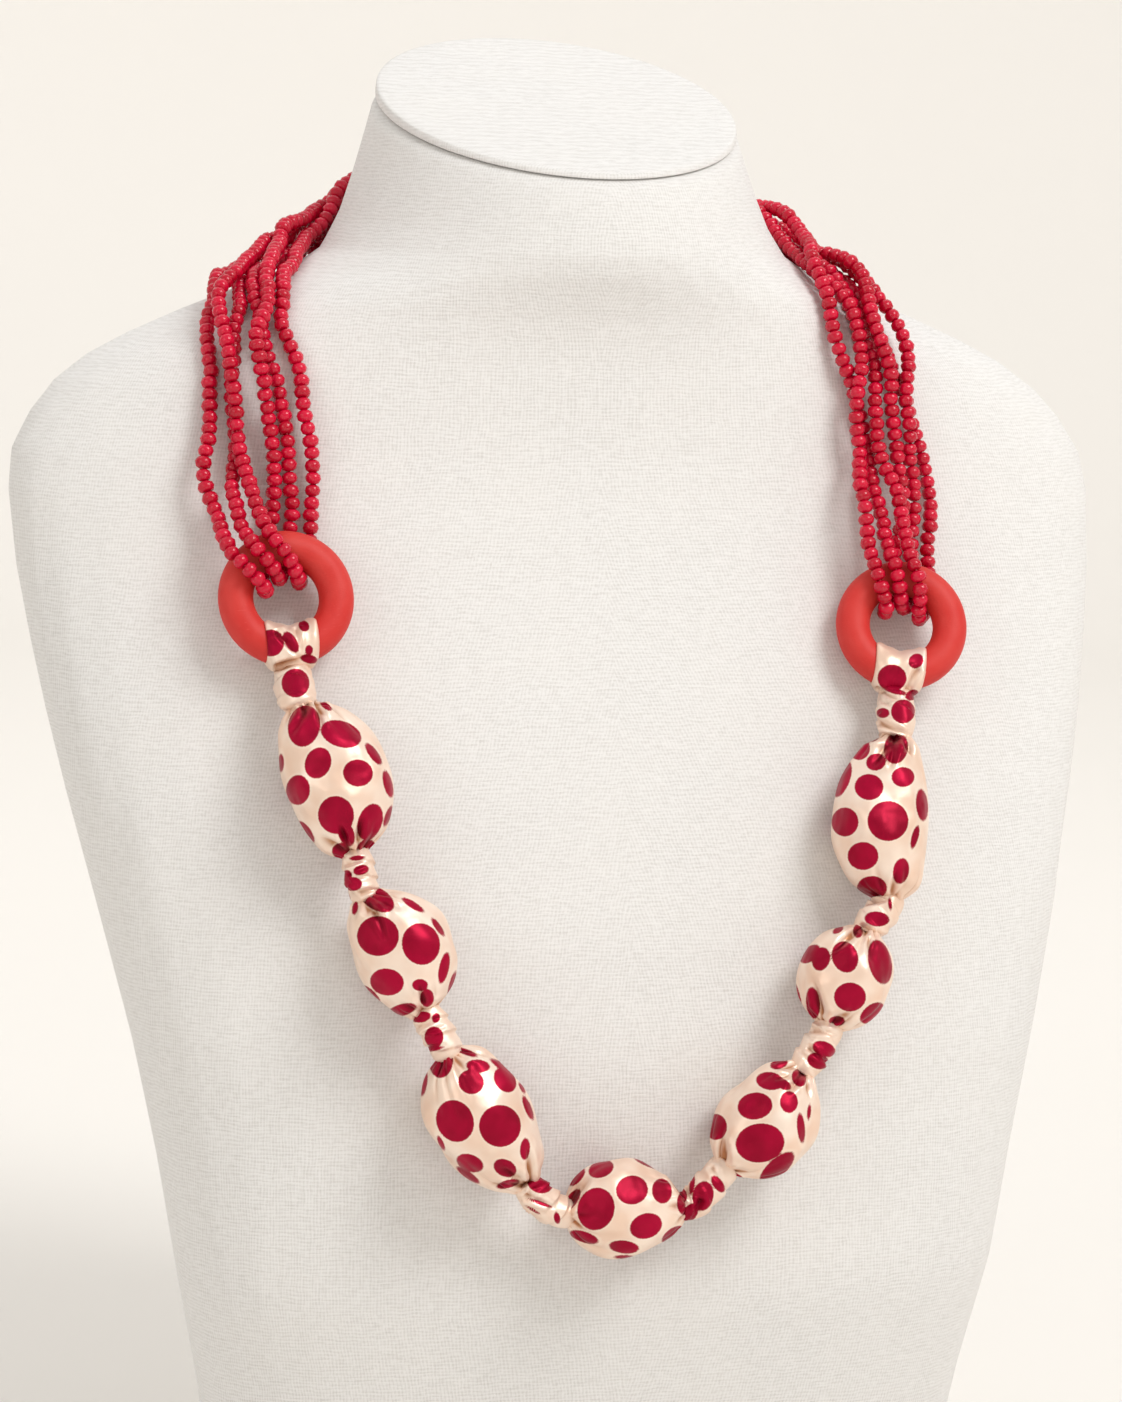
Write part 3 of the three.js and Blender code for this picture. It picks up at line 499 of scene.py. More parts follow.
@dataclass(frozen=True)
class LinenFinish:
    """Off-white plain-weave linen, with uneven threads."""

    light: Colour = (0.82, 0.812, 0.80, 1.0)
    shade: Colour = (0.66, 0.645, 0.625, 1.0)
    shade_at: float = 0.52
    light_at: float = 1.12
    aged: Colour = (0.86, 0.83, 0.79, 1.0)
    aged_size: float = 38.0
    aged_share: float = 0.16
    thread: float = 0.48
    stray: float = 1.6
    stray_size: float = 7.0
    slub_size: float = 1.7
    weave_share: float = 0.4
    slubs_share: float = 0.75
    slubs_up_share: float = 0.65
    roughness: float = 0.92
    sheen: float = 0.12
    depth: float = 0.10

    def build(self) -> bpy.types.Material:
        """Make the material.

        Returns:
            The linen.
        """
        graph = Graph("linen")
        cloth = self.threads(graph)
        colour = graph.mix(graph.ramp(cloth, self.shade_at, self.light_at), self.shade, self.light)
        cloud = graph.ramp(graph.noise(self.aged_size), 0.3, 0.8)
        colour = graph.mix(graph.math("MULTIPLY", cloud, self.aged_share), colour, self.aged)
        graph.feed(graph.shader.inputs["Base Color"], colour)
        graph.set(roughness=self.roughness, sheen=self.sheen)
        graph.bump(cloth, self.depth)
        return graph.material

    def threads(self, graph: Graph) -> bpy.types.NodeSocket:
        """Weave the threads, with thicker ones here and there.

        Args:
            graph: the material's nodes.

        Returns:
            The height of the cloth.
        """
        split = graph.nodes.new("ShaderNodeSeparateXYZ")
        graph.feed(split.inputs[0], graph.place())
        x, y, z = split.outputs
        round_bust = graph.math("SUBTRACT", graph.math("ABSOLUTE", x), graph.math("ABSOLUTE", y))
        wander = graph.math("MULTIPLY", graph.noise(self.stray_size), self.stray * MM)
        turn = math.pi / (self.thread * MM)
        weft = graph.math("SINE", graph.math("MULTIPLY", graph.math("ADD", round_bust, wander), turn))
        warp = graph.math("SINE", graph.math("MULTIPLY", graph.math("ADD", z, wander), turn))
        weave = graph.math("MULTIPLY_ADD", graph.math("ADD", weft, warp), 0.25, 0.5)
        slubs = graph.math("MULTIPLY", graph.noise(self.slub_size, 3.0, (0.6, 0.6, 6.0)), self.slubs_share)
        slubs_up = graph.noise(self.slub_size, 3.0, (5.0, 5.0, 0.6))
        cloth = graph.math("ADD", graph.math("MULTIPLY", weave, self.weave_share), slubs)
        return graph.math("ADD", cloth, graph.math("MULTIPLY", slubs_up, self.slubs_up_share))


@dataclass(frozen=True)
class SatinFinish:
    """Cream satin with crimson spots, with painted shade in its tucks and in random patches."""

    cream: Colour = (0.97, 0.81, 0.69, 1.0)
    # Painted shade: peach is laid on the cream in random patches.
    peach_shade: Colour = (0.83, 0.53, 0.37, 1.0)
    peach_shade_share: float = 0.6
    # Painted shade: the colour that the ground takes in the deepest tucks.
    tuck_shade: Colour = (0.50, 0.23, 0.11, 1.0)
    tuck_shade_starts: float = 0.2
    tuck_shade_full: float = 1.4
    crimson: Colour = (0.43, 0.002, 0.036, 1.0)
    # Painted shade: dark crimson in random patches and in the tucks.
    crimson_shade: Colour = (0.14, 0.001, 0.008, 1.0)
    crimson_shade_share: float = 0.5
    shade_patch_size: float = 9.0
    halo: Colour = (1.0, 0.88, 0.76, 1.0)
    halo_share: float = 0.3
    halo_starts: float = -2.6
    halo_full: float = -0.8
    edge: float = 0.55
    ragged: float = 1.1
    ragged_size: float = 0.5
    gloss: float = 0.42
    roughness: float = 0.38
    specular: float = 0.14
    thread_size: float = 0.45
    thread_depth: float = 0.02
    crumple_size: float = 5.5
    crumple_depth: float = 0.8

    def build(self) -> bpy.types.Material:
        """Make the material.

        Returns:
            The satin.
        """
        graph = Graph("spotted_satin")
        uneven = graph.math("SUBTRACT", graph.noise(self.ragged_size, 3.0), 0.5)
        spot = graph.math("ADD", graph.stored("spot"), graph.math("MULTIPLY", uneven, self.ragged))
        inside = graph.ramp(spot, -self.edge, self.edge)
        rim = graph.math("SUBTRACT", graph.ramp(spot, self.halo_starts, self.halo_full), inside)
        # Painted shade in the tucks: the deeper the cloth is drawn in, the darker it is painted.
        tuck_shading = graph.ramp(graph.stored("tuck_shading"), self.tuck_shade_starts, self.tuck_shade_full)
        # Painted shade in random patches: peach on the cream ground.
        shade_patches = graph.ramp(graph.noise(self.shade_patch_size), 0.25, 0.75)
        ground_and_shade = graph.mix(graph.math("MULTIPLY", shade_patches, self.peach_shade_share), self.cream, self.peach_shade)
        # Painted shade: the ground turns darker and warmer in the tucks.
        ground_and_shade = graph.mix(tuck_shading, ground_and_shade, self.tuck_shade)
        ground_and_shade = graph.mix(graph.math("MULTIPLY", rim, self.halo_share), ground_and_shade, self.halo)
        # Painted shade in the same random patches: dark crimson on the print.
        crimson_shade_mask = graph.math("MULTIPLY", shade_patches, self.crimson_shade_share)
        print_and_shade = graph.mix(crimson_shade_mask, self.crimson, self.crimson_shade)
        # Painted shade: the print turns dark crimson in the tucks.
        print_and_shade = graph.mix(tuck_shading, print_and_shade, self.crimson_shade)
        graph.feed(graph.shader.inputs["Base Color"], graph.mix(inside, ground_and_shade, print_and_shade))
        graph.set(roughness=self.roughness, gloss=self.gloss, specular=self.specular)
        graph.bump(graph.noise(self.thread_size, 2.0, (1.0, 1.0, 3.0)), self.thread_depth)
        graph.bump(graph.noise(self.crumple_size, 1.0), self.crumple_depth)
        return graph.material


@dataclass(frozen=True)
class RingFinish:
    """Matte warm red, finely brushed, with a few pale scuffs."""

    red: Colour = (0.62, 0.026, 0.020, 1.0)
    worn: Colour = (0.72, 0.085, 0.068, 1.0)
    scuff_size: float = 1.6
    scuff_share: float = 0.55
    faded_size: float = 7.0
    faded_share: float = 0.25
    roughness: float = 0.55
    specular: float = 0.4
    brush_size: float = 0.8
    brush_depth: float = 0.05
    wave_size: float = 6.0
    wave_depth: float = 0.12

    def build(self) -> bpy.types.Material:
        """Make the material.

        Returns:
            The ring's red.
        """
        graph = Graph("ring_red")
        scuffs = graph.ramp(graph.noise(self.scuff_size, 4.0, (1.0, 3.0, 5.0)), 0.60, 0.78)
        scuffs = graph.math("MULTIPLY", scuffs, self.scuff_share)
        faded = graph.ramp(graph.noise(self.faded_size), 0.3, 0.7)
        faded = graph.math("MULTIPLY", faded, self.faded_share)
        colour = graph.mix(graph.math("MAXIMUM", scuffs, faded), self.red, self.worn)
        graph.feed(graph.shader.inputs["Base Color"], colour)
        graph.set(roughness=self.roughness, specular=self.specular)
        graph.bump(graph.noise(self.brush_size, 4.0, (1.0, 1.0, 4.0)), self.brush_depth)
        graph.bump(graph.noise(self.wave_size, 1.0), self.wave_depth)
        return graph.material


@dataclass(frozen=True)
class BeadFinish:
    """Glossy crimson glass, each bead a little lighter or darker."""

    pale: Colour = (0.72, 0.003, 0.044, 1.0)
    deep: Colour = (0.42, 0.001, 0.014, 1.0)
    bead_share: float = 0.7
    cloud_share: float = 0.3
    cloud_size: float = 2.2
    roughness: float = 0.2
    specular: float = 0.45
    dimple_size: float = 1.3
    dimple_depth: float = 0.015

    def build(self) -> bpy.types.Material:
        """Make the material.

        Returns:
            The glass.
        """
        graph = Graph("crimson_glass")
        cloud = graph.math("MULTIPLY", graph.noise(self.cloud_size), self.cloud_share)
        own = graph.math("MULTIPLY", graph.stored("shade"), self.bead_share)
        share = graph.math("ADD", own, cloud)
        graph.feed(graph.shader.inputs["Base Color"], graph.mix(share, self.deep, self.pale))
        graph.set(roughness=self.roughness, specular=self.specular)
        graph.bump(graph.noise(self.dimple_size, 2.0), self.dimple_depth)
        return graph.material


def deselect_all() -> None:
    """Leave nothing selected."""
    bpy.ops.object.select_all(action="DESELECT")


def pick(piece: bpy.types.Object) -> None:
    """Select one piece alone and make it the active one."""
    deselect_all()
    piece.select_set(True)
    bpy.context.view_layer.objects.active = piece


def points_of(piece: bpy.types.Object) -> np.ndarray:
    """A piece's points in millimetres, a row each."""
    flat = np.empty(3 * len(piece.data.vertices))
    piece.data.vertices.foreach_get("co", flat)
    return flat.reshape(-1, 3) / MM


def keep_number(piece: bpy.types.Object, name: str, values: np.ndarray) -> None:
    """Keep one number at each of a piece's points."""
    attribute = piece.data.attributes.new(name, "FLOAT", "POINT")
    attribute.data.foreach_set("value", np.ascontiguousarray(values, dtype=np.float32))


def new_piece(name: str, points: np.ndarray, faces: Iterable[Sequence[int]]) -> bpy.types.Object:
    """Make a smooth mesh piece.

    Args:
        name: the piece's name.
        points: its points in millimetres, a row each.
        faces: the numbers of the points round each face.

    Returns:
        The piece.
    """
    mesh = bpy.data.meshes.new(name)
    mesh.from_pydata((points * MM).tolist(), [], [list(face) for face in faces])
    mesh.polygons.foreach_set("use_smooth", [True] * len(mesh.polygons))
    piece = bpy.data.objects.new(name, mesh)
    bpy.context.collection.objects.link(piece)
    return piece


def merged_copy(node: bpy.types.Object, name: str) -> bpy.types.Object:
    """Copy a CAD node, with its loose triangles joined and paired into four-sided faces.

    Args:
        node: the CAD node.
        name: the copy's name.

    Returns:
        The copy.
    """
    piece = bpy.data.objects.new(name, node.data.copy())
    bpy.context.collection.objects.link(piece)
    piece.data.materials.clear()
    pick(piece)
    bpy.ops.object.mode_set(mode="EDIT")
    bpy.ops.mesh.select_all(action="SELECT")
    bpy.ops.mesh.remove_doubles(threshold=0.001 * MM)
    bpy.ops.mesh.tris_convert_to_quads(face_threshold=PAIRING, shape_threshold=PAIRING)
    bpy.ops.object.mode_set(mode="OBJECT")
    return piece


def dressed(
    piece: bpy.types.Object, material: bpy.types.Material, nodes: Sequence[str]
) -> bpy.types.Object:
    """Give a piece its finish and its place in the frame.

    Args:
        piece: the piece.
        material: its finish.
        nodes: the CAD nodes that it stands for.

    Returns:
        The piece.
    """
    piece.data.materials.clear()
    piece.data.materials.append(material)
    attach(piece, BODY)
    if nodes:
        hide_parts(*nodes)
    log.info("%s: %d points", piece.name, len(piece.data.vertices))
    return piece


def loft_faces(rows: int, around: int, looped: bool = False) -> list[list[int]]:
    """Faces over rows of points round an axis.

    Args:
        rows: how many rows there are.
        around: points in each row.
        looped: whether the last row meets the first; if not, a point at each end closes the
            shape, numbered after all the rows.

    Returns:
        The point numbers of each face, turned outwards.
    """
    faces = []
    for i in range(rows if looped else rows - 1):
        a, b = i * around, ((i + 1) % rows) * around
        for j in range(around):
            k = (j + 1) % around
            faces.append([a + j, a + k, b + k, b + j])
    if not looped:
        first, last, top = rows * around, rows * around + 1, (rows - 1) * around
        for j in range(around):
            k = (j + 1) % around
            faces.append([first, k, j])
            faces.append([last, top + j, top + k])
    return faces


def fan_middles(node: bpy.types.Object) -> np.ndarray:
    """The two points of a CAD solid where most triangles meet: the middles of its end faces."""
    places, counts = np.unique(np.round(points_of(node), 3), axis=0, return_counts=True)
    return places[np.argsort(counts)[-2:]]


def unit(vector: np.ndarray) -> np.ndarray:
    """A direction, one long."""
    return vector / np.linalg.norm(vector)


def angles_round(count: int) -> np.ndarray:
    """Even angles for a full turn, in radians."""
    return 2 * np.pi * np.arange(count) / count


def spokes(angle: np.ndarray, side: np.ndarray, up: np.ndarray) -> np.ndarray:
    """Directions at angles from a side towards an up, a row each."""
    return np.cos(angle)[:, None] * side + np.sin(angle)[:, None] * up


def facing_sides(axis: np.ndarray) -> tuple[np.ndarray, np.ndarray]:
    """The side and the up round an axis, the side square to the photograph's view too."""
    side = unit(np.cross(VIEW.axes()[2], axis))
    return side, np.cross(axis, side)


def leaning_sides(axis: np.ndarray) -> tuple[np.ndarray, np.ndarray]:
    """The side and the up round an axis, for what is small and alike all round."""
    side = unit(np.cross(axis, LEANING))
    return side, np.cross(axis, side)


class SatinCloth:
    """The print and the folds of a piece of satin, as charted from the photograph.

    The folds fade where the cloth turns from the view, between the cosines in_view and unseen.
    """

    in_view: float = 0.2
    unseen: float = -0.1

    def __init__(self, spots: Sequence[Spot], folds: Sequence[Fold]) -> None:
        """Keep the charts.

        Args:
            spots: the spots of the print.
            folds: the folds.
        """
        self.spots = spots
        self.folds = folds

    def drawn_in(self, points: np.ndarray, outward: np.ndarray) -> np.ndarray:
        """How far the folds draw the cloth in at each point, in millimetres.

        Args:
            points: the cloth's points before it is folded.
            outward: the way that the cloth faces at each of them.

        Returns:
            A number for each point.
        """
        pixels = VIEW.project(points)
        seen = np.clip((outward @ VIEW.axes()[2] - self.unseen) / (self.in_view - self.unseen), 0.0, 1.0)
        total = np.zeros(len(points))
        for fold in self.folds:
            total += fold.groove(pixels)
        return total * seen

    def spot_depth(self, points: np.ndarray) -> np.ndarray:
        """How many pixels inside a spot each point lies, below 0 outside all of them."""
        pixels = VIEW.project(points)
        best = np.full(len(points), -EDGE_REACH)
        for spot in self.spots:
            best = np.maximum(best, spot.depth(pixels))
        return np.clip(best, -EDGE_REACH, EDGE_REACH)

    def dress(
        self,
        piece: bpy.types.Object,
        points: np.ndarray,
        tuck_shade: np.ndarray,
        satin: bpy.types.Material,
        nodes: Sequence[str],
    ) -> bpy.types.Object:
        """Print a piece of satin, keep its tucks for their painted shade and put it in the frame.

        Args:
            piece: the piece.
            points: its points.
            tuck_shade: how deep the cloth is drawn in at each of them, in millimetres, which sets its
                painted shade.
            satin: the finish.
            nodes: the CAD nodes that it stands for.

        Returns:
            The piece.
        """
        # Keep how deep each point is drawn in, for the painted shade of the tucks.
        keep_number(piece, "tuck_shading", np.clip(tuck_shade, 0, DEEPEST_TUCK))
        keep_number(piece, "spot", self.spot_depth(points))
        dressed(piece, satin, nodes)
        return piece


@dataclass(frozen=True)
class SoftLight:
    """A square soft light: places and side in metres, power in watts."""

    name: str
    place: Triple
    target: Triple
    side: float
    power: float
    colour: Triple

    def build(self) -> None:
        """Add the light, turned to what it lights."""
        data = bpy.data.lights.new(self.name, "AREA")
        data.size, data.energy, data.color = self.side, self.power, self.colour
        light = bpy.data.objects.new(self.name, data)
        light.location = self.place
        towards = Vector(self.target) - Vector(self.place)
        light.rotation_euler = towards.to_track_quat("-Z", "Y").to_euler()
        bpy.context.collection.objects.link(light)


@dataclass
class Studio:
    """A pale bowl of a backdrop that the bust stands in, and soft lights. Sizes are metres."""

    floor_radius: float = 1.9
    bend_radius: float = 0.7
    bend_steps: int = 16
    wall_height: float = 2.6
    around: int = 96
    pale: Colour = (0.88, 0.855, 0.818, 1.0)
    clouded: Colour = (0.84, 0.812, 0.772, 1.0)
    cloud_share: float = 0.06
    necklace: Triple = (0.0, 0.0, 0.2)
    wall: Triple = (0.0, 2.5, 0.5)
    room_colour: Colour = (1.0, 0.995, 0.99, 1.0)
    room_strength: float = 0.63

    def build(self) -> None:
        """Add the backdrop, the lights and the surrounding light."""
        self.build_backdrop()
        lights = (
            SoftLight("key", (0.75, -1.15, 1.6), self.necklace, 0.8, 20.0, (1.0, 0.995, 0.99)),
            SoftLight("fill", (-1.5, -1.0, 0.9), self.necklace, 0.8, 3.0, (1.0, 0.99, 0.98)),
            SoftLight("wall_wash", (0.0, 0.9, 1.9), self.wall, 1.8, 14.0, (1.0, 0.995, 0.985)),
        )
        for light in lights:
            light.build()
        world = bpy.data.worlds.new("soft_room")
        world.use_nodes = True
        background = world.node_tree.nodes["Background"]
        background.inputs["Color"].default_value = self.room_colour
        background.inputs["Strength"].default_value = self.room_strength
        bpy.context.scene.world = world
        bpy.context.scene.view_settings.view_transform = "Standard"

    def profile(self) -> list[tuple[float, float]]:
        """The bowl's profile from the floor's rim up: how far out and how high each step is."""
        steps = [(self.floor_radius, 0.0)]
        for i in range(1, self.bend_steps + 1):
            turn = math.radians(90 * i / self.bend_steps)
            reach = self.floor_radius + self.bend_radius * math.sin(turn)
            steps.append((reach, self.bend_radius * (1 - math.cos(turn))))
        steps.append((self.floor_radius + self.bend_radius, self.wall_height))
        return steps

    def build_backdrop(self) -> None:
        """Draw the bowl up from the rim of its round floor."""
        profile = self.profile()
        deselect_all()
        bpy.ops.mesh.primitive_circle_add(
            vertices=self.around, radius=self.floor_radius, fill_type="TRIFAN"
        )
        bowl = bpy.context.object
        bowl.name = "pale_backdrop"
        bpy.ops.object.mode_set(mode="EDIT")
        bpy.ops.mesh.select_all(action="DESELECT")
        bpy.ops.object.mode_set(mode="OBJECT")
        for edge in bowl.data.edges:
            ends = [bowl.data.vertices[v].co.length for v in edge.vertices]
            edge.select = min(ends) > 0.5 * self.floor_radius
        bpy.ops.object.mode_set(mode="EDIT")
        for (reach, height), (further, higher) in zip(profile, profile[1:]):
            bpy.ops.mesh.extrude_region_move(TRANSFORM_OT_translate={"value": (0, 0, higher - height)})
            grow = further / reach
            bpy.ops.transform.resize(value=(grow, grow, 1.0), center_override=(0, 0, higher))
        bpy.ops.mesh.select_all(action="SELECT")
        bpy.ops.mesh.normals_make_consistent(inside=True)
        bpy.ops.object.mode_set(mode="OBJECT")
        bpy.ops.object.shade_smooth()
        bowl.data.materials.append(self.paper())

    def paper(self) -> bpy.types.Material:
        """Make the backdrop's pale paper.

        Returns:
            The material.
        """
        graph = Graph("pale_paper")
        cloud = graph.ramp(graph.noise(420.0, 1.0), 0.35, 0.65)
        colour = graph.mix(graph.math("MULTIPLY", cloud, self.cloud_share), self.pale, self.clouded)
        graph.feed(graph.shader.inputs["Base Color"], colour)
        graph.set(roughness=0.95)
        return graph.material


@dataclass
class NeckBust:
    """The plain bust: its linen body and the padded cap on the neck cut."""

    levels: int = 2
    foot_crease: float = 0.85

    def build(self, nodes: dict[str, bpy.types.Object], linen: bpy.types.Material) -> None:
        """Smooth copies of the two solids and cover them in linen.

        Args:
            nodes: the CAD nodes by name.
            linen: the finish.
        """
        body = merged_copy(nodes["bust_body"], "linen_bust")
        self.crease_foot(body)
        self.smooth(body)
        dressed(body, linen, ["bust_body"])
        cap = merged_copy(nodes["bust_neck_cap"], "linen_neck_cap")
        self.smooth(cap)
        dressed(cap, linen, ["bust_neck_cap"])

    def crease_foot(self, piece: bpy.types.Object) -> None:
        """Keep the edge round the flat foot sharp."""
        middle = {v.index for v in piece.data.vertices if Vector(v.co[:2]).length < 1 * MM}
        for edge in piece.data.edges:
            level = all(abs(piece.data.vertices[v].co.z) < 0.01 * MM for v in edge.vertices)
            edge.select = level and not set(edge.vertices) & middle
        pick(piece)
        bpy.context.tool_settings.mesh_select_mode = (False, True, False)
        bpy.ops.object.mode_set(mode="EDIT")
        bpy.ops.transform.edge_crease(value=self.foot_crease)
        bpy.ops.object.mode_set(mode="OBJECT")

    def smooth(self, piece: bpy.types.Object) -> None:
        """Round a piece's facets off."""
        pick(piece)
        modifier = piece.modifiers.new("round", "SUBSURF")
        modifier.levels = modifier.render_levels = self.levels
        bpy.ops.object.modifier_apply(modifier=modifier.name)
        bpy.ops.object.shade_smooth()


@dataclass
class CoveredBead:
    """A bead covered in satin that is gathered at both ends."""

    node: str
    start: np.ndarray
    end: np.ndarray
    around: int = 168
    along: int = 84
    pleats: int = 9
    pleat_depth: float = 1.15
    pleat_reach: float = 5.2
    neck_in: float = 0.24
    neck_reach: float = 2.4
    dent: float = 0.28
    bow_power: float = 2.4
    core: float = 1.2
    end_tuck_shade: float = 2.0
    # Painted shade at the two tied ends, given as a depth in millimetres.
    seed: int = 0

    def direction(self) -> np.ndarray:
        """The way along the string."""
        return unit(self.end - self.start)

    def aside(self) -> np.ndarray:
        """How far the tied ends lie off the middle line."""
        across, up = TIED_ASIDE[self.node]
        return np.array([across, 0.0, up])

    def tied(self, end: int) -> tuple[np.ndarray, np.ndarray]:
        """Find where the cloth is tied.

        Args:
            end: 0 for the first end, 1 for the last.

        Returns:
            The place and the way along the string there.
        """
        lean = self.bow_power * self.aside() * (2 * end - 1)
        place = (self.end if end else self.start) + self.aside()
        return place, unit(self.end - self.start + lean)

    def build(self, node: bpy.types.Object, satin: bpy.types.Material) -> bpy.types.Object:
        """Loft the cloth over the CAD solid's own swell, then pleat, fold and print it.

        Args:
            node: the CAD solid.
            satin: the finish.

        Returns:
            The covered bead.
        """
        axis = self.direction()
        length = float(np.linalg.norm(self.end - self.start))
        side, up = facing_sides(axis)
        swell = self.swell_of(node, axis, length)
        turn = np.pi * np.arange(self.along + 1) / self.along
        share = 0.5 - 0.5 * np.cos(turn)
        u, a = (grid.ravel() for grid in np.meshgrid(share, angles_round(self.around), indexing="ij"))
        ways = spokes(a, side, up)
        radius = np.polynomial.chebyshev.chebval(1 - 2 * u, swell)
        nearest = np.minimum(u, 1 - u) * length
        radius = radius * (1 - self.neck_in * np.exp(-((nearest / self.neck_reach) ** 2)))
        radius = radius - self.dents(u, a)
        pleat = self.pleat_in(u * length, a, 0) + self.pleat_in((1 - u) * length, a, 1)
        bow = np.abs(2 * u - 1) ** self.bow_power
        middles = self.start + (u * length)[:, None] * axis + bow[:, None] * self.aside()
        points = middles + (radius - pleat)[:, None] * ways
        cloth = SatinCloth(COVER_SPOTS[self.node], COVER_FOLDS[self.node])
        folded = np.minimum(cloth.drawn_in(points, ways), radius - pleat - self.core)
        points = points - folded[:, None] * ways
        points = np.vstack([points, self.start + self.aside(), self.end + self.aside()])
        piece = new_piece(f"satin_{self.node}", points, loft_faces(self.along + 1, self.around))
        # How deep the pleats and folds draw the cloth in, which sets its painted shade.
        tuck_shade = np.append(pleat + folded, [self.end_tuck_shade, self.end_tuck_shade])
        return cloth.dress(piece, points, tuck_shade, satin, [self.node])

    def swell_of(self, node: bpy.types.Object, axis: np.ndarray, length: float) -> np.ndarray:
        """Measure the radius of the CAD solid along its axis.

        Args:
            node: the CAD solid.
            axis: the way along it.
            length: its length.

        Returns:
            The terms of a smooth curve of the radius over the share of the length.
        """
        places = np.unique(np.round(points_of(node), 3), axis=0)
        off = places - self.start
        share = off @ axis / length
        radius = np.linalg.norm(off - np.outer(off @ axis, axis), axis=1)
        kept = radius > 0.5
        return np.polynomial.chebyshev.chebfit(1 - 2 * share[kept], radius[kept], 8)

    def dents(self, share: np.ndarray, angle: np.ndarray) -> np.ndarray:
        """Soft dents of the cloth over the bead, in millimetres, at shares of its length."""
        rng = np.random.default_rng(300 + self.seed)
        total = np.zeros_like(angle)
        for turns, swings in ((2, 1.0), (3, 2.0), (5, 1.5)):
            wave = turns * angle + 2 * np.pi * swings * share + rng.uniform(0, 2 * np.pi)
            total += np.sin(wave) * np.sin(np.pi * share)
        return self.dent * total

    def pleat_in(self, distance: np.ndarray, angle: np.ndarray, end: int) -> np.ndarray:
        """How deep the gathers are at each point.

        Args:
            distance: how far the point is from the tied end.
            angle: its angle round the bead.
            end: 0 for the first end, 1 for the last.

        Returns:
            Depths in millimetres.
        """
        rng = np.random.default_rng(100 + 10 * self.seed + end)
        phase = rng.uniform(0, 2 * np.pi, 4)
        uneven = angle + 0.30 * np.sin(angle + phase[0]) + 0.14 * np.sin(3 * angle + phase[1])
        valley = (1 - np.abs(np.sin(0.5 * self.pleats * uneven + phase[2]))) ** 2
        if self.pleats % 2:
            valley = (0.5 + 0.5 * np.cos(self.pleats * uneven + phase[2])) ** 3
        reach = self.pleat_reach * (1.0 + 0.5 * np.sin(2 * angle + phase[3]))
        return self.pleat_depth * valley * np.exp(-((distance / reach) ** 1.4))


@dataclass
class SatinKnot:
    """Satin wound round itself, with laps that slant round it."""

    node: str
    radius: float
    around: int = 72
    along: int = 44
    tuck_in: float = 0.9
    laps: int = 2
    wraps: float = 1.6
    lap: float = 0.85
    lap_slope: float = 9.0
    waist: float = 0.74
    uneven: float = 0.18
    # Painted shade at the knot's two ends, given as a depth in millimetres.
    end_tuck_shade: float = 1.5

    def build(
        self, before: CoveredBead, after: CoveredBead, satin: bpy.types.Material
    ) -> bpy.types.Object:
        """Wind the knot along a smooth path from one bead to the next.

        Args:
            before: the covered bead that it starts at.
            after: the covered bead that it ends at.
            satin: the finish.

        Returns:
            The knot.
        """
        start, start_way = before.tied(1)
        end, end_way = after.tied(0)
        start = start - self.tuck_in * start_way
        end = end + self.tuck_in * end_way
        marks = self.marks(start, start_way, end, end_way)
        cloth = SatinCloth(KNOT_SPOTS[self.node], KNOT_FOLDS[self.node])
        return self.wind(marks, cloth, satin, [self.node])

    def marks(
        self, start: np.ndarray, start_way: np.ndarray, end: np.ndarray, end_way: np.ndarray
    ) -> list[np.ndarray]:
        """The four points that a smooth path from a start to an end follows, with its ways there."""
        reach = np.linalg.norm(end - start) / 3
        return [start, start + reach * start_way, end - reach * end_way, end]

    def wind(
        self,
        marks: Sequence[np.ndarray],
        cloth: SatinCloth,
        satin: bpy.types.Material,
        nodes: Sequence[str],
    ) -> bpy.types.Object:
        """Loft the wound cloth along a smooth path.

        Args:
            marks: the four points that the path follows.
            cloth: its print and folds.
            satin: the finish.
            nodes: the CAD nodes that it stands for.

        Returns:
            The knot.
        """
        t = np.linspace(0, 1, self.along + 1)[:, None]
        path = (1 - t) ** 3 * marks[0] + 3 * (1 - t) ** 2 * t * marks[1]
        path = path + 3 * (1 - t) * t**2 * marks[2] + t**3 * marks[3]
        angle = angles_round(self.around)
        rows, outward = [], []
        for i, (place, way) in enumerate(zip(path, np.gradient(path, axis=0))):
            side, up = facing_sides(unit(way))
            outward.append(spokes(angle, side, up))
            rows.append(place + self.radius_at(i / self.along, angle)[:, None] * outward[-1])
        points, outward = np.vstack(rows), np.vstack(outward)
        folded = cloth.drawn_in(points, outward)
        points = np.vstack([points - folded[:, None] * outward, marks[0], marks[3]])
        piece = new_piece(f"satin_{self.node}", points, loft_faces(self.along + 1, self.around))
        # The fold depths set the knot's painted shade, with more at both ends.
        return cloth.dress(piece, points, np.append(folded, [self.end_tuck_shade, self.end_tuck_shade]), satin, nodes)

    def radius_at(self, share: float, angle: np.ndarray) -> np.ndarray:
        """The knot's radius at a share of its length, for each angle round it."""
        round_off = math.sin(math.pi * min(max(share, 0.02), 0.98)) ** 0.35
        lap = self.laps * (angle / (2 * np.pi) + self.wraps * share) % 1.0
        step = self.lap * (lap - 0.5) * np.clip(lap * self.lap_slope, 0, 1) * round_off
        bumpy = self.uneven * np.sin(3 * angle + 4 * share) * round_off
        return self.radius * (self.waist + (1 - self.waist) * round_off) + step + bumpy


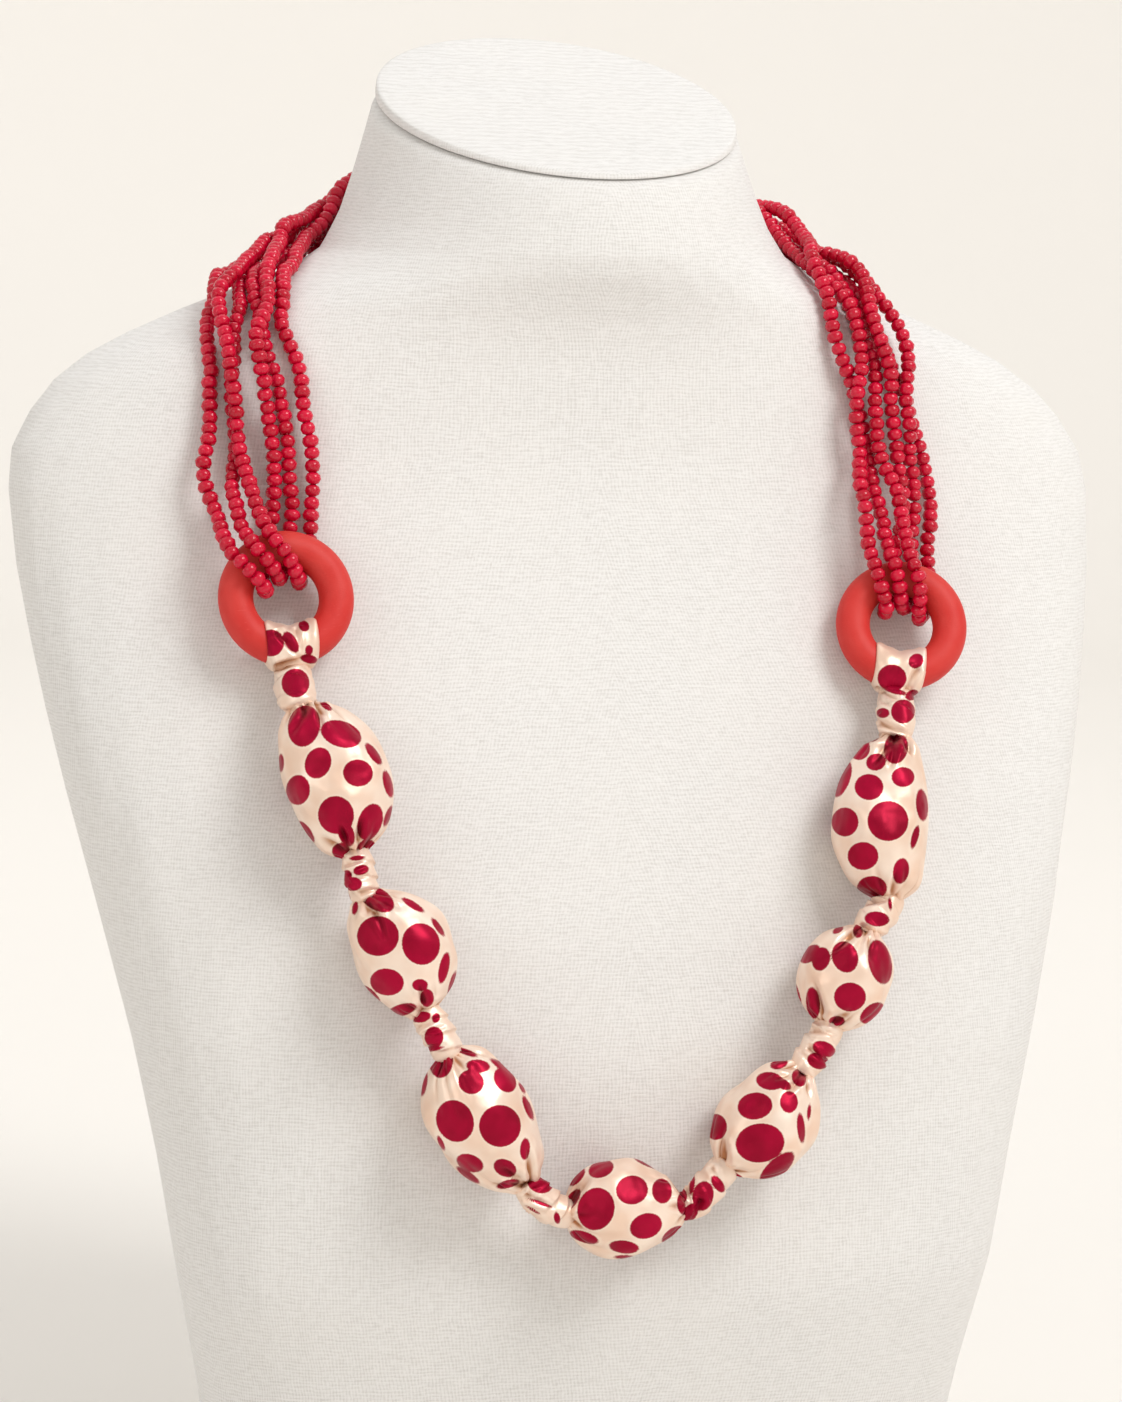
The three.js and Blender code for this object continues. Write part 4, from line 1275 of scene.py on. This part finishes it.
@dataclass
class RedRing:
    """A round ring turned from a round bar."""

    node: str
    outer: float = 33.0
    bar: float = 8.5
    middle: np.ndarray = field(default_factory=lambda: np.zeros(3))
    facing: np.ndarray = field(default_factory=lambda: np.array([0.0, -1.0, 0.0]))

    def centreline(self) -> float:
        """The radius of the bar's middle."""
        return (self.outer - self.bar) / 2

    def build(self, node: bpy.types.Object, red: bpy.types.Material) -> bpy.types.Object:
        """Add the ring where the CAD ring is.

        Args:
            node: the CAD ring.
            red: the finish.

        Returns:
            The ring.
        """
        places = np.unique(np.round(points_of(node), 3), axis=0)
        self.middle = places.mean(axis=0)
        self.facing = np.linalg.svd(places - self.middle)[2][2]
        if self.facing[1] > 0:
            self.facing = -self.facing
        turn = Vector(self.facing).to_track_quat("Z", "Y").to_euler()
        deselect_all()
        bpy.ops.mesh.primitive_torus_add(
            location=Vector(self.middle * MM),
            rotation=turn,
            major_segments=112,
            minor_segments=40,
            major_radius=self.centreline() * MM,
            minor_radius=self.bar / 2 * MM,
        )
        ring = bpy.context.object
        ring.name = f"matte_{self.node}"
        bpy.ops.object.transform_apply(location=True, rotation=True, scale=True)
        bpy.ops.object.shade_smooth()
        return dressed(ring, red, [self.node])


@dataclass
class RingLoop:
    """The folded satin band that goes round a ring, and the knot that closes it."""

    node: str
    half_width: float = 6.3
    cloth: float = 1.5
    slack: float = 0.12
    hem_drop: float = 0.75
    widest: float = math.radians(46)
    uneven: float = 0.16
    deepest: float = 1.1
    around: int = 96
    across: int = 30
    knot_radius: float = 4.7
    knot_lap: float = 0.7
    knot_gap: float = 0.4

    def build(
        self, ring: RedRing, tied: np.ndarray, way: np.ndarray, satin: bpy.types.Material
    ) -> None:
        """Lay the band round the bar and wind the knot down to the covered bead.

        Args:
            ring: the ring.
            tied: where the nearest covered bead is tied.
            way: the way from there towards the ring.
            satin: the finish.
        """
        down = tied - ring.middle
        down = unit(down - (down @ ring.facing) * ring.facing)
        side = np.cross(ring.facing, down)
        cloth = SatinCloth(LOOP_SPOTS[self.node], LOOP_FOLDS[self.node])
        inner, outer = ring.bar / 2 + self.slack, ring.bar / 2 + self.cloth
        narrowest = self.half_width / math.sin(self.widest)
        rows, outward = [], []
        turns = angles_round(self.around)
        profile = [(-1 + 2 * i / self.across, True) for i in range(self.across + 1)]
        profile += [(1 - 2 * i / self.across, False) for i in range(self.across + 1)]
        for share, is_outer in profile:
            rise = outer - self.hem_drop * (outer - inner) * abs(share) ** 8 if is_outer else inner
            reach = ring.centreline() + rise * np.cos(turns)
            spread = np.arcsin(self.half_width / np.maximum(reach, narrowest))
            pleat = self.uneven * np.sin(9 * share + 1.5 * np.cos(turns)) if is_outer else 0.0
            radius = ring.centreline() + (rise + pleat) * np.cos(turns)
            flat = spokes(share * spread, down, side)
            place = ring.middle + radius[:, None] * flat
            rows.append(place + ((rise + pleat) * np.sin(turns))[:, None] * ring.facing)
            outward.append(np.cos(turns)[:, None] * flat + np.sin(turns)[:, None] * ring.facing)
        points, outward = np.vstack(rows), np.vstack(outward)
        outside = np.repeat([is_outer for _, is_outer in profile], self.around)
        folded = np.minimum(cloth.drawn_in(points, outward), self.deepest) * outside
        points = points - folded[:, None] * outward
        faces = loft_faces(len(profile), self.around, looped=True)
        band = new_piece(f"satin_{self.node}_band", points, faces)
        self.turn_outwards(band)
        # The fold depths set the band's painted shade.
        cloth.dress(band, points, folded, satin, [self.node])
        foot = ring.middle + (ring.centreline() + ring.bar / 2 + self.knot_gap) * down
        knot = SatinKnot(f"{self.node}_knot", self.knot_radius, lap=self.knot_lap)
        knot.wind(knot.marks(tied - knot.tuck_in * way, way, foot, -down), cloth, satin, [])

    def turn_outwards(self, piece: bpy.types.Object) -> None:
        """Make all faces of a piece point outwards."""
        pick(piece)
        bpy.ops.object.mode_set(mode="EDIT")
        bpy.ops.mesh.select_all(action="SELECT")
        bpy.ops.mesh.normals_make_consistent(inside=False)
        bpy.ops.object.mode_set(mode="OBJECT")


@dataclass
class BeadLoop:
    """One closed strand of small glass beads on a thread."""

    node: str
    seed: int
    diameter: float = 4.1
    pitch: float = 3.05
    tube_sides: int = 8
    sides: int = 10
    thread: float = 0.4
    stray: float = 0.12
    tilt: float = 0.09
    shift: float = 0.09
    sizes: tuple[float, float] = (0.94, 1.06)
    lengths: tuple[float, float] = (0.98, 1.10)
    end_at: float = 0.42
    rows: tuple[tuple[float, float], ...] = (
        (-0.48, 0.42),
        (-0.32, 0.83),
        (0.0, 1.0),
        (0.32, 0.83),
        (0.48, 0.42),
    )

    def path_of(self, node: bpy.types.Object, step: float) -> np.ndarray:
        """Find the middle of the CAD tube.

        Args:
            node: the CAD tube.
            step: the distance wanted between points.

        Returns:
            Points at even distances round the closed strand.
        """
        path = self.smooth_path(self.tube_middles(node))
        closed, lengths = self.measured(path)
        count = int(round(lengths[-1] / step))
        return self.along(closed, lengths, lengths[-1] * np.arange(count) / count)

    def measured(self, path: np.ndarray) -> tuple[np.ndarray, np.ndarray]:
        """Close a path and measure how far each of its points is from its start."""
        closed = np.vstack([path, path[:1]])
        steps = np.linalg.norm(np.diff(closed, axis=0), axis=1)
        return closed, np.concatenate([[0.0], np.cumsum(steps)])

    def build(self, path: np.ndarray, glass: bpy.types.Material) -> bpy.types.Object:
        """Thread the beads along a path.

        Args:
            path: the closed path of the thread.
            glass: the finish.

        Returns:
            The strand.
        """
        closed, lengths = self.measured(path)
        count = int(round(lengths[-1] / self.pitch))
        rng = np.random.default_rng(self.seed)
        at = lengths[-1] * np.arange(count) / count + rng.uniform(-self.stray, self.stray, count)
        places = self.along(closed, lengths, at)
        ahead = self.along(closed, lengths, at + 1.0) - self.along(closed, lengths, at - 1.0)
        points, faces, shades = [], [], []
        number = 0
        for place, way in zip(places, ahead):
            bead, bead_faces = self.one_bead(rng, unit(way), lengths[-1] / count)
            points.append(place + bead)
            faces.extend([[v + number for v in face] for face in bead_faces])
            shades.append(np.full(len(bead), rng.beta(2.2, 1.6)))
            number += len(bead)
        cord, cord_faces = self.thread_tube(places)
        points.append(cord)
        faces.extend([[v + number for v in face] for face in cord_faces])
        shades.append(np.zeros(len(cord)))
        piece = new_piece(f"glass_{self.node}", np.vstack(points), faces)
        keep_number(piece, "shade", np.concatenate(shades))
        log.info("%s: %.0f mm round, %d beads", self.node, lengths[-1], count)
        return dressed(piece, glass, [self.node])

    def tube_middles(self, node: bpy.types.Object) -> np.ndarray:
        """Find the middles of the CAD tube's rings of points, in their order.

        Args:
            node: the CAD tube.

        Returns:
            The middles, a row each.
        """
        rounded = np.round(points_of(node), 3)
        places, number = np.unique(rounded, axis=0, return_inverse=True)
        number = number.ravel()
        side = self.diameter * math.sin(math.pi / self.tube_sides)
        pairs = set()
        for polygon in node.data.polygons:
            ring = [int(number[v]) for v in polygon.vertices]
            for a, b in zip(ring, ring[1:] + ring[:1]):
                pairs.add((min(a, b), max(a, b)))
        owner = list(range(len(places)))

        def root(i: int) -> int:
            """The first point of the ring that a point is in."""
            while owner[i] != i:
                i = owner[i]
            return i

        for a, b in pairs:
            if abs(np.linalg.norm(places[a] - places[b]) - side) < 0.01 * side:
                owner[max(root(a), root(b))] = min(root(a), root(b))
        roots = sorted({root(i) for i in range(len(places))})
        middles = {r: places[[i for i in range(len(places)) if root(i) == r]].mean(axis=0) for r in roots}
        beside: dict[int, set[int]] = {r: set() for r in roots}
        for a, b in pairs:
            if root(a) != root(b):
                beside[root(a)].add(root(b))
                beside[root(b)].add(root(a))
        order = [roots[0], min(beside[roots[0]])]
        while len(order) < len(roots):
            order.append(next(r for r in beside[order[-1]] if r != order[-2]))
        return np.array([middles[r] for r in order])

    def smooth_path(self, middles: np.ndarray, between: int = 12) -> np.ndarray:
        """A smooth closed path through points, with steps between them."""
        before, after, further = (np.roll(middles, shift, axis=0) for shift in (1, -1, -2))
        bend = 2 * before - 5 * middles + 4 * after - further
        twist = 3 * middles - before - 3 * after + further
        out = []
        for step in range(between):
            t = step / between
            out.append(0.5 * (2 * middles + (after - before) * t + bend * t**2 + twist * t**3))
        return np.stack(out, axis=1).reshape(-1, 3)

    def along(self, path: np.ndarray, lengths: np.ndarray, at: np.ndarray) -> np.ndarray:
        """Points at lengths along a closed path."""
        at = np.mod(at, lengths[-1])
        return np.stack([np.interp(at, lengths, path[:, k]) for k in range(3)], axis=1)

    def one_bead(
        self, rng: np.random.Generator, way: np.ndarray, pitch: float
    ) -> tuple[np.ndarray, list[list[int]]]:
        """Make one bead round the thread, a little larger, smaller or tilted than the others.

        Args:
            rng: the source of the small differences.
            way: the thread's way.
            pitch: the room that it has along the thread.

        Returns:
            Its points round its middle and its faces.
        """
        tilt = unit(way + rng.normal(0, self.tilt, 3))
        side, up = leaning_sides(tilt)
        size = rng.uniform(*self.sizes) * self.diameter / 2
        long = rng.uniform(*self.lengths) * pitch
        ring = spokes(angles_round(self.sides) + rng.uniform(0, 1), side, up)
        rows = [share * long * tilt + wide * size * ring for share, wide in self.rows]
        ends = [-self.end_at * long * tilt, self.end_at * long * tilt]
        shift = rng.normal(0, self.shift, 3)
        return np.vstack([*rows, *ends]) + shift, loft_faces(len(rows), self.sides)

    def thread_tube(self, places: np.ndarray, sides: int = 5) -> tuple[np.ndarray, list[list[int]]]:
        """The thread through the middles of all the beads."""
        ways = np.roll(places, -1, axis=0) - np.roll(places, 1, axis=0)
        rows = []
        for place, way in zip(places, ways):
            side, up = leaning_sides(unit(way))
            rows.append(place + self.thread * spokes(angles_round(sides), side, up))
        return np.vstack(rows), loft_faces(len(places), sides, looped=True)


@dataclass
class Strands:
    """The three bead loops, hanging a little wavy beside each other."""

    step: float = 2.4
    waves: tuple[tuple[float, float], ...] = ((58.0, 1.0), (34.0, 0.8), (21.0, 0.45))
    apart: float = 4.15
    clear: float = 2.25
    held: float = 17.0
    let_go: float = 16.0
    ease: float = 0.5
    ease_rounds: int = 10
    evening: float = 0.12
    neighbours: int = 9
    rounds: int = 14

    def build(self, nodes: dict[str, bpy.types.Object], glass: bpy.types.Material) -> None:
        """Let the strands waver, then keep them clear of each other and of the bust.

        Args:
            nodes: the CAD nodes by name.
            glass: the finish of the beads.
        """
        loops = [BeadLoop(f"bead_loop_{number}", seed=number) for number in (1, 2, 3)]
        paths = [loop.path_of(nodes[loop.node], self.step) for loop in loops]
        rings = [points_of(nodes[name]).mean(axis=0) for name in ("ring_left", "ring_right")]
        ends = np.cumsum([len(path) for path in paths])
        still = np.vstack(paths)
        away = np.min([np.linalg.norm(still - ring, axis=1) for ring in rings], axis=0)
        free = np.clip((away - self.held) / self.let_go, 0.0, 1.0)[:, None]
        eased = np.vstack([self.evened(path, self.ease, self.ease_rounds) for path in paths])
        astray = np.vstack([self.waver(path, loop.seed) for path, loop in zip(paths, loops)])
        moved = still + free * (eased - still + astray)
        bust = nodes["bust_body"].data
        corners = [vertex.co / MM for vertex in bust.vertices]
        surface = BVHTree.FromPolygons(corners, [polygon.vertices for polygon in bust.polygons])
        for _ in range(self.rounds):
            moved = self.kept_apart(moved, ends)
            moved = self.kept_off(moved, surface)
            moved = still + np.clip(free * 3, 0, 1) * (moved - still)
        for loop, path in zip(loops, np.split(moved, ends[:-1])):
            loop.build(path, glass)

    def waver(self, path: np.ndarray, seed: int) -> np.ndarray:
        """How far a strand strays at each of its points.

        Args:
            path: its points.
            seed: the number that its waves are drawn from.

        Returns:
            A move for each point.
        """
        rng = np.random.default_rng(40 + seed)
        share = np.arange(len(path)) / len(path)
        move = np.zeros_like(path)
        for wave, reach in self.waves:
            turns = max(1, int(round(len(path) * self.step / wave)))
            for axis in range(3):
                drift = 0.8 * np.sin(2 * np.pi * (3 * share + rng.uniform()))
                move[:, axis] += reach * np.sin(2 * np.pi * (turns * share + rng.uniform()) + drift)
        return move

    def kept_apart(self, points: np.ndarray, ends: np.ndarray) -> np.ndarray:
        """Push apart the points that come too close, and even out each strand.

        Args:
            points: the points of all strands.
            ends: where each strand ends among them.

        Returns:
            The points in their new places.
        """
        strand = np.searchsorted(ends, np.arange(len(points)), side="right")
        order = np.arange(len(points))
        push = np.zeros_like(points)
        for i, point in enumerate(points):
            off = point - points
            gap = np.linalg.norm(off, axis=1)
            other = (strand != strand[i]) | (np.abs(order - i) > self.neighbours)
            near = (gap < self.apart) & (gap > 0) & other
            if near.any():
                push[i] = (off[near] * ((self.apart - gap[near]) / gap[near])[:, None]).mean(axis=0) * 0.5
        points = points + push
        return np.vstack([self.evened(path, self.evening) for path in np.split(points, ends[:-1])])

    def evened(self, path: np.ndarray, share: float, rounds: int = 1) -> np.ndarray:
        """Ease the bends of a closed strand.

        Args:
            path: its points.
            share: how far each point goes towards the middle between its neighbours.
            rounds: how many times they all go.

        Returns:
            The eased points.
        """
        for _ in range(rounds):
            between = 0.5 * (np.roll(path, 1, axis=0) + np.roll(path, -1, axis=0))
            path = path + share * (between - path)
        return path

    def kept_off(self, points: np.ndarray, surface: BVHTree) -> np.ndarray:
        """Lift the points that are too near the bust.

        Args:
            points: the points of all strands.
            surface: the bust's surface in millimetres.

        Returns:
            The points in their new places.
        """
        lifted = points.copy()
        for i, point in enumerate(points):
            near, normal, _, _ = surface.find_nearest(Vector(point))
            height = (Vector(point) - near).dot(normal)
            if height < self.clear:
                lifted[i] = point + (self.clear - height) * np.array(normal)
        return lifted


@dataclass
class CoveredString:
    """The string of covered beads and knots between the two rings."""

    covers: tuple[str, ...] = (
        "cover_left_top",
        "cover_left_middle",
        "cover_left_low",
        "cover_centre",
        "cover_right_low",
        "cover_right_middle",
        "cover_right_top",
    )
    knots: tuple[tuple[str, float], ...] = (
        ("knot_left_upper", 3.8),
        ("knot_left_lower", 4.0),
        ("knot_centre_left", 4.1),
        ("knot_centre_right", 4.1),
        ("knot_right_lower", 4.0),
        ("knot_right_upper", 4.2),
    )

    def build(
        self, nodes: dict[str, bpy.types.Object], satin: bpy.types.Material, red: bpy.types.Material
    ) -> None:
        """Build the covered beads, the knots, the rings and the bands round them.

        Args:
            nodes: the CAD nodes by name.
            satin: the finish of the cloth.
            red: the finish of the rings.
        """
        ends = [fan_middles(nodes[name]) for name in self.covers]
        middles = [pair.mean(axis=0) for pair in ends]
        beads = []
        for i, (name, pair) in enumerate(zip(self.covers, ends)):
            onward = middles[min(i + 1, len(middles) - 1)] - middles[max(i - 1, 0)]
            if (pair[1] - pair[0]) @ onward < 0:
                pair = pair[::-1]
            bead = CoveredBead(name, pair[0], pair[1], pleats=9 + i % 3, seed=i)
            bead.build(nodes[name], satin)
            beads.append(bead)
        for (name, radius), before, after in zip(self.knots, beads, beads[1:]):
            SatinKnot(name, radius).build(before, after, satin)
        for side, bead, end in (("left", beads[0], 0), ("right", beads[-1], 1)):
            tied, way = bead.tied(end)
            ring = RedRing(f"ring_{side}")
            ring.build(nodes[ring.node], red)
            RingLoop(f"ring_loop_{side}").build(ring, tied, way if end else -way, satin)


def main(frame: dict) -> None:
    """Build the finishes, then every sub-assembly in turn.

    Args:
        frame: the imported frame.
    """
    nodes = frame["nodes"]
    VIEW.build()
    Studio().build()
    NeckBust().build(nodes, LinenFinish().build())
    CoveredString().build(nodes, SatinFinish().build(), RingFinish().build())
    Strands().build(nodes, BeadFinish().build())


if __name__ == "__main__":
    logging.basicConfig(level=logging.INFO, format="%(name)s: %(message)s")
    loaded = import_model()
    main(loaded)
